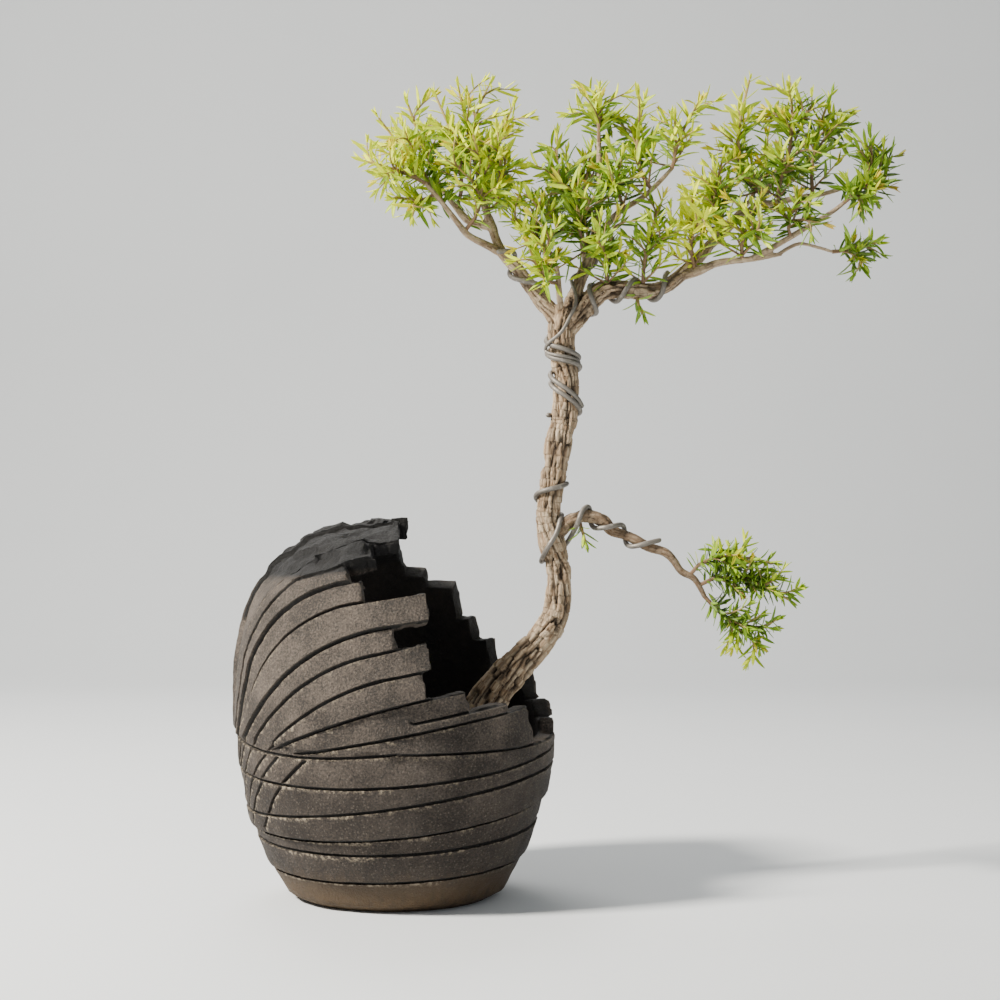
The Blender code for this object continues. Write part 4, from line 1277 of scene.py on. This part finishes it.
@dataclass
class Wood:
    """Trunk, roots and limbs grown as one skin, with furrows that run along each limb."""

    grid: float = 0.00070
    route_steps: int = 6
    rod_steps: int = 3
    easings: int = 3
    sides: int = 20
    lump: float = 0.10
    lump_size: float = 0.011
    furrow_depth: float = 0.0021
    furrow_width: float = 0.0034
    furrow_length: float = 0.020
    sharpness: float = 5.0
    smooth_radius: float = 0.0012
    rough_radius: float = 0.0050
    deep_radius: float = 0.0065
    twist: float = 14.0
    bark: FurrowedBark = field(default_factory=FurrowedBark)

    def tubes(self) -> Shape:
        """One lumpy tube to a limb, each starting inside its parent."""
        bm = bmesh.new()
        for limb in LIMBS.values():
            route, widths = limb.dense(self.route_steps)
            radii = [width * (1 + self.lump * bumps(place, self.lump_size))
                     for width, place in zip(widths, route)]
            add_tube(bm, route, radii, self.sides)
        return bm

    def rods(self) -> tuple[np.ndarray, ...]:
        """Every limb as straight rods: arrays of starts, spans, distances along, radii, youth and shade."""
        rows = []
        for limb in LIMBS.values():
            route, widths = limb.dense(self.rod_steps)
            passed = 0.0
            for start, end, width in zip(route, route[1:], widths):
                rows.append((start, end - start, passed, width, limb.youth, limb.shade))
                passed += (end - start).length
        return tuple(np.array(values, float) for values in zip(*rows))

    def nearest_rods(self, points: np.ndarray) -> tuple[np.ndarray, np.ndarray]:
        """The index of the rod whose bark each point lies nearest, and how far along that rod it is.

        Args:
            points: Points in rows.

        Returns:
            The rods' indices, and the shares of their lengths.
        """
        starts, spans, _, radii, _, _ = self.rods()
        best = np.full(len(points), np.inf)
        rod = np.zeros(len(points), int)
        share = np.zeros(len(points))
        for i, (start, span, radius) in enumerate(zip(starts, spans, radii)):
            t = np.clip((points - start) @ span / (span @ span), 0, 1)
            gap = np.linalg.norm(points - start - t[:, None] * span, axis=1) - radius
            closer = gap < best
            best[closer], rod[closer], share[closer] = gap[closer], i, t[closer]
        return rod, share

    def carve(self, bm: Shape) -> None:
        """Cuts the furrows and records each point's place along its limb, for the finish.

        Args:
            bm: The joined skin.
        """
        bark_layer = bm.verts.layers.float_vector.new("bark")
        furrow_layer, youth_layer, shade_layer = (
            bm.verts.layers.float.new(name) for name in ("furrow", "youth", "shade"))
        bm.normal_update()
        points = np.array([vert.co for vert in bm.verts])
        rod, share = self.nearest_rods(points)
        starts, spans, along, radii, youth, shade = self.rods()
        moves = []
        for vert, i, t in zip(bm.verts, rod, share):
            start, span = Vector(starts[i]), Vector(spans[i])
            ahead = span.normalized()
            away = vert.co - start - span * t
            across = (FRONT - ahead * FRONT.dot(ahead)).normalized()
            beside = ahead.cross(across)
            travel = along[i] + span.length * t
            angle = math.atan2(away.dot(beside), away.dot(across)) + self.twist * travel
            straight = Vector((math.cos(angle) * radii[i], math.sin(angle) * radii[i], travel))
            vert[bark_layer] = straight + UP * (0.05 * (int(i) % 7))
            stretched = Vector((straight.x / self.furrow_width, straight.y / self.furrow_width,
                                travel / self.furrow_length + 3.7 * youth[i]))
            bend = Vector((noise.noise(stretched * 0.9), noise.noise(stretched * 0.9 + UP * 9), 0)) * 0.55
            ridge = abs(noise.noise(stretched + bend))
            fine = abs(noise.noise((stretched + bend) * 2.3 + UP * 5))
            cut = max(0.0, 1 - ridge * self.sharpness) + 0.45 * max(0.0, 1 - fine * self.sharpness)
            growth = (radii[i] - self.smooth_radius) / (self.rough_radius - self.smooth_radius)
            old = min(max(growth, 0.12), 1.0)
            flake = 0.35 * bumps(stretched * 1.6, 1.0, 4)
            depth = self.furrow_depth * old * min(radii[i] / self.deep_radius, 1.25)
            moves.append(vert.normal * depth * (0.30 + flake - cut * 0.9))
            vert[furrow_layer] = min(cut, 1.0) * (0.35 + 0.65 * old)
            vert[youth_layer] = float(youth[i])
            vert[shade_layer] = float(shade[i])
        for vert, move in zip(bm.verts, moves):
            vert.co += move

    def build(self) -> Piece:
        """Models the wood: tubes joined into one skin, eased at the forks, then furrowed.

        Returns:
            The wood's piece.
        """
        bm = settled("limbs", self.tubes(), "REMESH", mode="VOXEL", voxel_size=self.grid,
                     use_smooth_shade=True)
        for _ in range(self.easings):
            bmesh.ops.smooth_vert(bm, verts=bm.verts, factor=0.5, use_axis_x=True, use_axis_y=True,
                                  use_axis_z=True)
        self.carve(bm)
        piece = as_object("trunk_and_limbs", bm, self.bark.material(), smooth=False)
        piece.data.shade_smooth()
        return piece

    def dress(self) -> None:
        """Builds and places the wood."""
        place_piece(self.build(), "bark", "trunk_and_branches")


@dataclass
class TrainingWires:
    """The wires wound round the wood: each CAD wire's own run, made round and smooth."""

    names: tuple[str, ...] = ("wire_lower_branch", "wire_left_limb", "wire_right_limb", "wire_crown")
    radius: float = 0.0011
    thin_radius: float = 0.00075
    thin: str = "wire_crown"
    swell: float = 1.42
    smoothings: int = 2
    merging: float = 2e-6
    flatness: float = math.radians(50)
    finish: AnodisedWire = field(default_factory=AnodisedWire)

    def build(self, name: str, material: Material) -> Piece:
        """Makes one wire from a merged copy of its CAD node.

        Args:
            name: The CAD node's name.
            material: The wire's finish.

        Returns:
            The wire's piece.
        """
        bm = bmesh.new()
        bm.from_mesh(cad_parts[name].data)
        bmesh.ops.remove_doubles(bm, verts=bm.verts, dist=self.merging)
        bmesh.ops.join_triangles(bm, faces=bm.faces, angle_face_threshold=self.flatness,
                                 angle_shape_threshold=self.flatness)
        bm = settled("wire", bm, "SUBSURF", levels=self.smoothings, render_levels=self.smoothings)
        bm.normal_update()
        radius = self.thin_radius if name == self.thin else self.radius
        for vert in bm.verts:
            vert.co += vert.normal * radius * (self.swell - 1)
        return as_object(f"{name}_strand", bm, material)

    def dress(self) -> None:
        """Builds and places every wire."""
        material = self.finish.material()
        for name in self.names:
            place_piece(self.build(name, material), "wire", name)


# ----------------------------------------------------------------------------------------------- the leaves


@dataclass(frozen=True)
class Cushion:
    """A pad's leaves: tones inside and outside, which carry painted shade and light, its heart and reach in
    millimetres, a slope of painted shade across it, and its leaves' lift.
    """

    inner: float
    outer: float
    heart: Triple
    reach: float
    lean: float = 0.0
    lift: float = 0.12

    def tone(self, end: Vector, share: float, sun: float) -> float:
        """How light a leaf is, from 0 to 1: lighter towards the shoot's tip, and with painted light towards
        the rim and the sun.

        Args:
            end: The leaf's tip.
            share: Where it sits along its shoot.
            sun: How much it faces the sun.

        Returns:
            The tone.
        """
        out = min((end - Vector(self.heart) * MM).length / (self.reach * MM), 1)
        return self.inner + (self.outer - self.inner) * (0.28 * share + 0.48 * out**1.4 + 0.28 * sun)


class Pad(Enum):
    """The tree's four pads of leaves."""

    LEFT = Cushion(0.06, 1.14, (32, 0, 394), 52)
    MIDDLE = Cushion(-0.10, 1.00, (112, 0, 378), 64)
    # The right pad's lean darkens it towards its right side, as painted shade.
    RIGHT = Cushion(-0.06, 1.04, (200, 0, 380), 64, -6.5, 0.10)
    LOWER = Cushion(-0.02, 0.76, (190, 0, 164), 34, 0.0, -0.10)


@dataclass(frozen=True)
class Spray:
    """A young leafy branchlet: the limb and how far along it, and where its shoots end, in millimetres."""

    limb: str
    along: float
    tips: tuple[Triple, ...]


def numbered(pad: str, *rows: tuple) -> dict[str, Spray]:
    """A pad's sprays, from rows of a limb, the share of its length and the tips, named by their number."""
    return {f"{pad}_spray_{number}": Spray(limb, along, tuple(tips))
            for number, (limb, along, *tips) in enumerate(rows, start=1)}


SPRAYS = {
    **numbered(
        "left",
        ("left_front", 1.0, (-15, -24, 397), (-5, -34, 388)),
        ("left_front", 0.72, (-9, -8, 424), (5, -22, 416)),
        ("left_middle", 1.0, (6, 10, 436), (17, 24, 428), (-3, 22, 416)),
        ("left_middle", 0.62, (22, -4, 437), (32, -10, 420)),
        ("left_limb", 1.0, (34, 1, 444), (52, -2, 445)),
        ("left_limb", 0.84, (56, -14, 415), (61, -10, 403)),
        ("left_back", 1.0, (64, 22, 437), (46, 36, 426), (31, 38, 412)),
        ("left_front", 0.42, (43, -30, 410), (28, -36, 396)),
        ("left_front", 0.86, (1, -14, 380), (10, -28, 372)),
        ("left_back", 0.55, (50, 34, 402), (55, 24, 394)),
    ),
    **numbered(
        "middle",
        ("middle_left", 1.0, (63, -14, 368), (79, -22, 376)),
        ("middle_left", 0.55, (73, -24, 350), (88, -32, 362)),
        ("middle_stem", 0.42, (100, -14, 390), (108, -26, 378)),
        ("middle_stem", 0.62, (84, 2, 402), (89, 10, 418)),
        ("middle_stem", 1.0, (112, 1, 442), (100, 8, 431), (122, 6, 427)),
        ("middle_right", 0.42, (123, -18, 401), (118, -28, 383)),
        ("middle_right", 0.72, (136, -4, 434), (133, 8, 420)),
        ("middle_right", 1.0, (152, -14, 421), (167, -8, 433)),
        ("right_limb", 0.19, (120, -26, 368), (108, -36, 352)),
        ("right_limb", 0.31, (145, -18, 378), (154, -24, 360)),
        ("middle_back", 1.0, (109, 34, 416), (124, 36, 404), (92, 34, 405)),
        ("middle_back", 0.5, (82, 26, 380), (88, 36, 390)),
    ),
    **numbered(
        "right",
        ("right_limb", 0.66, (178, -12, 400), (188, -22, 391)),
        ("right_limb", 0.84, (194, -3, 446), (190, 8, 430)),
        ("right_limb", 1.0, (217, 2, 446), (206, 8, 432), (230, -6, 430)),
        ("right_branch", 0.25, (222, -20, 408), (212, -26, 396)),
        ("right_branch", 0.62, (240, 4, 440), (250, 10, 428)),
        ("right_branch", 1.0, (268, -10, 386), (258, -14, 414), (267, -2, 404)),
        ("right_low_up", 1.0, (256, -30, 386), (248, -34, 372)),
        ("right_low_up", 0.4, (216, -32, 376), (228, -34, 362)),
        ("right_low", 0.62, (196, -30, 376), (197, -36, 358)),
        ("right_back", 1.0, (210, 36, 414), (224, 34, 400), (196, 38, 406)),
        ("right_back", 0.5, (178, 28, 394), (170, 30, 380)),
        ("right_twig", 1.0, (262, -9, 357), (254, -14, 344)),
        ("right_low", 0.16, (162, -16, 382), (168, -26, 368)),
    ),
    **numbered(
        "lower",
        ("lower_limb", 0.86, (207, -3, 181), (190, 6, 180)),
        ("lower_limb", 0.93, (216, 1, 161), (206, -12, 166)),
        ("lower_limb", 1.0, (200, 1, 136), (208, 8, 145)),
    ),
    "sprig_under_lower_limb": Spray("lower_limb", 0.19, ((104, -4, 193),)),
    "sprig_under_right_limb": Spray("right_limb", 0.29, ((135, -8, 317),)),
}
SKIRTED = ("middle_stem", "middle_right", "right_limb", "right_low", "right_branch")
BUSHY = "lower_limb"
SUNWARD = Vector((-0.55, -0.35, 0.76))


@dataclass
class Shoot:
    """One young twig with leaves in a spiral: its curved line, and how exposed to light it is."""

    root: Vector
    heading: Vector
    tip: Vector
    fullness: float = 1.0

    def at(self, share: float) -> Vector:
        """A point at a share of the way along: it leaves on its heading and bends to its tip."""
        bend = self.root + self.heading * (self.tip - self.root).length * 0.4
        return self.root * (1 - share) ** 2 + bend * 2 * share * (1 - share) + self.tip * share**2

    def ahead(self, share: float) -> Vector:
        """The direction of growth at a share of the way along."""
        return (self.at(min(share + 0.02, 1.02)) - self.at(share - 0.02)).normalized()

    def length(self) -> float:
        """The shoot's length, roughly."""
        return sum((self.at((i + 1) / 6) - self.at(i / 6)).length for i in range(6))


@dataclass
class LeafShape:
    """Lance-shaped leaf blades: a small folded, curved strip with real thickness."""

    length: float = 0.0134
    width: float = 0.0024
    thick: float = 0.00022
    fold: float = 0.16
    rows: int = 5

    def blade(self, curl: float) -> bpy.types.Mesh:
        """Makes one blade along +Z with its upper face towards -Y, one unit long and one unit wide.

        Args:
            curl: How far its tip bends back, as a share of its length.

        Returns:
            The mesh that every leaf of this kind is copied from.
        """
        bm = bmesh.new()
        bm.loops.layers.uv.new("UVMap")
        bmesh.ops.create_grid(bm, x_segments=2, y_segments=self.rows, size=0.5, calc_uvs=True)
        for vert in bm.verts:
            across, along = vert.co.x * 2, vert.co.y + 0.5
            bulge = math.sin(math.pi * min(along, 0.999) ** 0.9) ** 0.5
            half = 0.5 * (0.2 + 0.8 * bulge) * (1 - 0.7 * along**8)
            lift = -self.fold * abs(across) * half * 2 * self.width / self.length
            vert.co = Vector((across * half, lift + curl * along**2, along))
        mesh = bpy.data.meshes.new("blade")
        bm.to_mesh(mesh)
        bm.free()
        return mesh


@dataclass
class Foliage:
    """Every leafy spray, in one piece of leaves to a CAD node and one of twigs to a pad."""

    leaf_step: float = 0.0025
    tilt_root: float = 72.0
    tilt_tip: float = 42.0
    tilt_play: float = 9.0
    turn_play: float = 0.35
    tone_play: float = 0.14
    sizes: tuple[float, float] = (0.74, 1.10)
    curbed: float = 0.6
    tuft: int = 4
    fine_step: float = 0.58
    fine_size: float = 0.86
    side_shoots: int = 4
    skirt_shoots: int = 2
    twig_radius: float = 0.00085
    twig_tip: float = 0.00045
    main_fullness: float = 1.35
    side_fullness: float = 0.8
    side_share: tuple[float, float] = (0.36, 0.62)
    side_reach: tuple[float, float] = (0.014, 0.021)
    skirt_reach: tuple[float, float] = (0.014, 0.022)
    twig_rings: int = 6
    twig_sides: int = 6
    curls: tuple[float, ...] = (-0.10, 0.02, 0.10, 0.20)
    seed: int = 100
    ruddy_share: float = 0.28
    past_low: float = 0.002
    past_high: float = 0.003
    shape: LeafShape = field(default_factory=LeafShape)
    leaf: NarrowLeaf = field(default_factory=NarrowLeaf)
    skin: TwigSkin = field(default_factory=TwigSkin)

    def pad(self, name: str) -> Pad:
        """The pad that a spray belongs to."""
        for pad in Pad:
            if name.startswith(pad.name.lower()):
                return pad
        return Pad.LOWER

    def shoots(self, spray: Spray, draw: random.Random) -> list[Shoot]:
        """The spray's own shoots and the short ones between them.

        Args:
            spray: The spray.
            draw: Random numbers of this spray's own.

        Returns:
            The shoots, the spray's own first.
        """
        place, ahead, radius = LIMBS[spray.limb].at(spray.along)
        first_tip = Vector(spray.tips[0]) * MM
        if spray.along == 1:
            root = place - ahead * 0.001
            heading = (ahead * 0.4 + (first_tip - root).normalized() * 0.6).normalized()
        else:
            towards = first_tip - place
            heading = (towards - ahead * towards.dot(ahead)).normalized()
            root = place + heading * radius * 0.5
        main = Shoot(root, heading, first_tip, self.main_fullness)
        found = [main]
        for i, tip in enumerate(spray.tips[1:]):
            share = 0.3 + 0.12 * i
            found.append(Shoot(main.at(share), main.ahead(share), Vector(tip) * MM))
        if len(spray.tips) == 1:
            return found
        for parent in list(found):
            count = self.side_shoots + (spray.limb == BUSHY)
            for number in range(count):
                share = 0.14 + 0.84 * number / count + draw.uniform(-0.06, 0.06)
                growth = parent.ahead(share)
                turn = Matrix.Rotation(GOLDEN_ANGLE * number + draw.uniform(0, math.tau), 3, growth)
                outward = turn @ growth.orthogonal().normalized()
                reach = min(parent.length() * draw.uniform(*self.side_share), draw.uniform(*self.side_reach))
                start = parent.at(share)
                tip = start + (growth * 0.58 + outward * 0.80 + UP * 0.10) * reach
                found.append(Shoot(start, growth, tip, self.side_fullness))
        if spray.limb in SKIRTED:
            found += self.skirt(main, ahead, draw)
        return found

    def skirt(self, main: Shoot, ahead: Vector, draw: random.Random) -> list[Shoot]:
        """Short shoots low on a spray, which hide the limb that it grows from.

        Args:
            main: The spray's first shoot.
            ahead: The way the limb runs.
            draw: Random numbers.

        Returns:
            The short shoots.
        """
        found = []
        for number in range(self.skirt_shoots):
            way = ahead * (1 - 2 * (number % 2)) + main.heading * 0.9 + FRONT * draw.uniform(-0.5, 0.7)
            way.normalize()
            start = main.at(0.05)
            tip = start + way * draw.uniform(*self.skirt_reach)
            found.append(Shoot(start, way, tip, self.side_fullness))
        return found

    def add_twig(self, bm: Shape, shoot: Shoot) -> None:
        """Adds a shoot's stem, red-brown at its root and fresh at its tip."""
        before = len(bm.verts)
        last = self.twig_rings - 1
        route = [shoot.at(i / last) for i in range(last + 1)]
        radii = [(self.twig_radius + (self.twig_tip - self.twig_radius) * i / last) * shoot.fullness
                 for i in range(last + 1)]
        add_tube(bm, route, radii, self.twig_sides)
        youth = bm.verts.layers.float["youth"]
        bm.verts.ensure_lookup_table()
        for vert in bm.verts[before:]:
            nearest = min(range(last + 1), key=lambda i: (route[i] - vert.co).length)
            vert[youth] = nearest / last

    def add_leaf(self, bm: Shape, blade: bpy.types.Mesh, place: Matrix, tone: float, flush: float) -> None:
        """Copies a blade into the spray and marks its colour.

        Args:
            bm: The spray's leaves.
            blade: The unit blade.
            place: Where it goes, how it is turned and its size.
            tone: From 0, dark, to 1, lemon.
            flush: How red it is.
        """
        before = len(bm.verts)
        bm.from_mesh(blade)
        bm.verts.ensure_lookup_table()
        tones, flushes = bm.verts.layers.float["tone"], bm.verts.layers.float["flush"]
        for vert in bm.verts[before:]:
            vert[flushes] = flush * (0.4 + 0.6 * vert.co.z)
            vert[tones] = tone
            vert.co = place @ vert.co

    def leaf_matrix(self, root: Vector, pointing: Vector, growth: Vector, size: float,
                    roll: float) -> Matrix:
        """A leaf's place: along its pointing, with its upper face towards the shoot's tip.

        Args:
            root: Where it leaves the twig.
            pointing: The way its length runs.
            growth: The way the shoot grows.
            size: Its size, as a share of the full one.
            roll: A turn about its own length.

        Returns:
            The matrix for the unit blade.
        """
        width = pointing.cross(growth).normalized()
        width = Matrix.Rotation(roll, 3, pointing) @ width
        back = pointing.cross(width)
        turn = Matrix((width, back, pointing)).transposed().to_4x4()
        length = self.shape.length * size
        scale = Matrix.Diagonal((self.shape.width * size**0.7, length, length, 1))
        return Matrix.Translation(root) @ turn @ scale

    def clad(self, bm: Shape, shoot: Shoot, pad: Pad, blades: list[bpy.types.Mesh],
             draw: random.Random) -> None:
        """Puts leaves on a shoot in a spiral, closer and finer towards its tip.

        Args:
            bm: The spray's leaves.
            shoot: The shoot.
            pad: The pad that it belongs to.
            blades: The blades to choose from.
            draw: Random numbers.
        """
        cushion = pad.value
        fine = pad is Pad.LOWER
        step = self.leaf_step * (self.fine_step if fine else 1)
        count = max(round(shoot.length() / step), 4)
        vigour = draw.uniform(-0.10, 0.10)
        ruddy = draw.random() < self.ruddy_share
        for number in range(count + self.tuft):
            share = min(0.07 + 0.95 * number / count, 1.0)
            growth = shoot.ahead(share)
            side = growth.orthogonal().normalized()
            turn = GOLDEN_ANGLE * number + draw.uniform(-self.turn_play, self.turn_play)
            outward = Matrix.Rotation(turn, 3, growth) @ side
            late = max(share - 0.75, 0) / 0.25
            lean = self.tilt_root + (self.tilt_tip - self.tilt_root) * share
            tilt = math.radians(lean + draw.uniform(-self.tilt_play, self.tilt_play))
            if number >= count:
                tilt = math.radians(draw.uniform(6, 20))
            pointing = growth * math.cos(tilt) + outward * math.sin(tilt) + UP * cushion.lift
            pointing.normalize()
            size = draw.uniform(*self.sizes) * (self.fine_size if fine else 1)
            size *= 1 - 0.42 * late
            size *= 0.72 + 0.28 * min(share / 0.25, 1)
            root = shoot.at(share)
            end = root + pointing * self.shape.length * size
            if self.sticks_out(end):
                size *= self.curbed
            # Painted light and shade: lighter where a leaf faces the sun or nears the rim, and darker across
            # a pad by its lean.
            tone = cushion.tone(end, share, 0.5 + 0.5 * pointing.dot(SUNWARD)) + vigour
            tone += cushion.lean * (end.x - cushion.heart[0] * MM)
            tone += draw.uniform(-self.tone_play, self.tone_play)
            flush = late * draw.uniform(0.15, 0.6) if ruddy and number > count - 5 else 0.0
            place = self.leaf_matrix(root, pointing, growth, size, draw.uniform(-0.5, 0.5))
            self.add_leaf(bm, draw.choice(blades), place, tone, flush)

    def sticks_out(self, point: Vector) -> bool:
        """Whether a leaf's tip would stand too far out of the object's box."""
        lowest, highest = CAD_BOX
        return not all(low - self.past_low < value < high + self.past_high
                       for low, value, high in zip(lowest, point, highest))

    def dress(self) -> None:
        """Builds and places every spray's leaves, and each pad's twigs."""
        leaf_material, twig_material = self.leaf.material(), self.skin.material()
        blades = [self.shape.blade(curl) for curl in self.curls]
        twigs = {pad: bmesh.new() for pad in Pad}
        for bm in twigs.values():
            bm.verts.layers.float.new("youth")
        for number, (name, spray) in enumerate(SPRAYS.items()):
            draw = random.Random(self.seed + number)
            pad = self.pad(name)
            bm = bmesh.new()
            bm.loops.layers.uv.new("UVMap")
            bm.verts.layers.float.new("tone")
            bm.verts.layers.float.new("flush")
            for shoot in self.shoots(spray, draw):
                self.add_twig(twigs[pad], shoot)
                self.clad(bm, shoot, pad, blades, draw)
            bm = settled("leaves", bm, "SOLIDIFY", thickness=self.shape.thick, offset=0)
            place_piece(as_object(f"{name}_leaves", bm, leaf_material), "leaves", name)
        for pad, bm in twigs.items():
            place_piece(as_object(f"{pad.name.lower()}_twigs", bm, twig_material), "bark")


# ------------------------------------------------------------------------------------------------ the stage


@dataclass(frozen=True)
class Lamp:
    """A square soft light: where it hangs, its side, its power and its colour."""

    name: str
    place: Triple
    size: float
    power: float
    tint: Colour

    def hang(self, target: Vector) -> None:
        """Adds the light, facing a target."""
        lamp = bpy.data.lights.new(self.name, "AREA")
        lamp.size = self.size
        lamp.energy = self.power
        lamp.color = self.tint
        held = bpy.data.objects.new(self.name, lamp)
        held.location = self.place
        held.rotation_euler = (target - held.location).to_track_quat("-Z", "Y").to_euler()
        bpy.context.scene.collection.objects.link(held)


LAMPS = (
    Lamp("key", (-1.30, -0.62, 1.30), 0.28, 100.0, (1.0, 0.96, 0.88)),
    Lamp("fill", (1.4, -1.3, 0.8), 1.4, 3.0, (0.86, 0.92, 1.0)),
    Lamp("back", (-0.3, 1.1, 1.5), 0.9, 16.0, (1.0, 0.98, 0.95)),
)


@dataclass
class Studio:
    """A plain pale floor that sweeps up into a backdrop, soft lights, and the camera."""

    eye: Triple = (0.0572, -0.990, 0.196)
    target: Triple = (0.06, 0, 0.22)
    lens: float = 64.8
    sensor: float = 36.0
    rise: float = 0.036
    sky: Colour = (0.86, 0.90, 0.94)
    sky_strength: float = 0.34
    half_width: float = 4.0
    half_run: float = 3.2
    bend_at: float = 1.4
    bend_radius: float = 0.7
    plaster: PalePlaster = field(default_factory=PalePlaster)

    def build_sweep(self) -> None:
        """Models the floor and backdrop as one swept sheet."""
        bm = bmesh.new()
        bmesh.ops.create_grid(bm, x_segments=2, y_segments=60, size=1)
        bend = self.bend_radius
        for vert in bm.verts:
            run = (vert.co.y + 1) * self.half_run
            flat = min(run, self.half_run)
            turn = min(max(run - self.half_run, 0) / bend, math.pi / 2)
            rise = max(run - self.half_run - bend * math.pi / 2, 0)
            back = flat - self.half_run + self.bend_at + bend * math.sin(turn)
            vert.co = Vector((vert.co.x * self.half_width, back, bend * (1 - math.cos(turn)) + rise))
        as_object("sweep", bm, self.plaster.material())

    def light_sky(self) -> None:
        """Sets the even light from all around."""
        world = bpy.data.worlds.new("studio")
        world.use_nodes = True
        sky = world.node_tree.nodes["Background"]
        sky.inputs["Color"].default_value = (*self.sky, 1)
        sky.inputs["Strength"].default_value = self.sky_strength
        bpy.context.scene.world = world

    def place_camera(self) -> None:
        """Sets up the level camera in front."""
        eye = bpy.data.cameras.new("camera")
        eye.lens = self.lens
        eye.sensor_width = self.sensor
        eye.shift_y = self.rise
        held = bpy.data.objects.new("camera", eye)
        held.location = self.eye
        held.rotation_euler = (math.radians(90), 0, 0)
        bpy.context.scene.collection.objects.link(held)
        bpy.context.scene.camera = held

    def build(self) -> None:
        """Builds the stage, the lights and the camera."""
        self.build_sweep()
        for lamp in LAMPS:
            lamp.hang(Vector(self.target))
        self.light_sky()
        self.place_camera()


def main() -> None:
    """Builds the whole model in order."""
    logging.basicConfig(level=logging.INFO, format="%(relativeCreated)6d ms %(message)s")
    pot = StonewarePot()
    pot.dress()
    GritSoil(pot).dress()
    DrainageNet().dress()
    Wood().dress()
    TrainingWires().dress()
    Foliage().dress()
    Studio().build()
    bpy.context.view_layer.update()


if __name__ == "__main__":
    main()
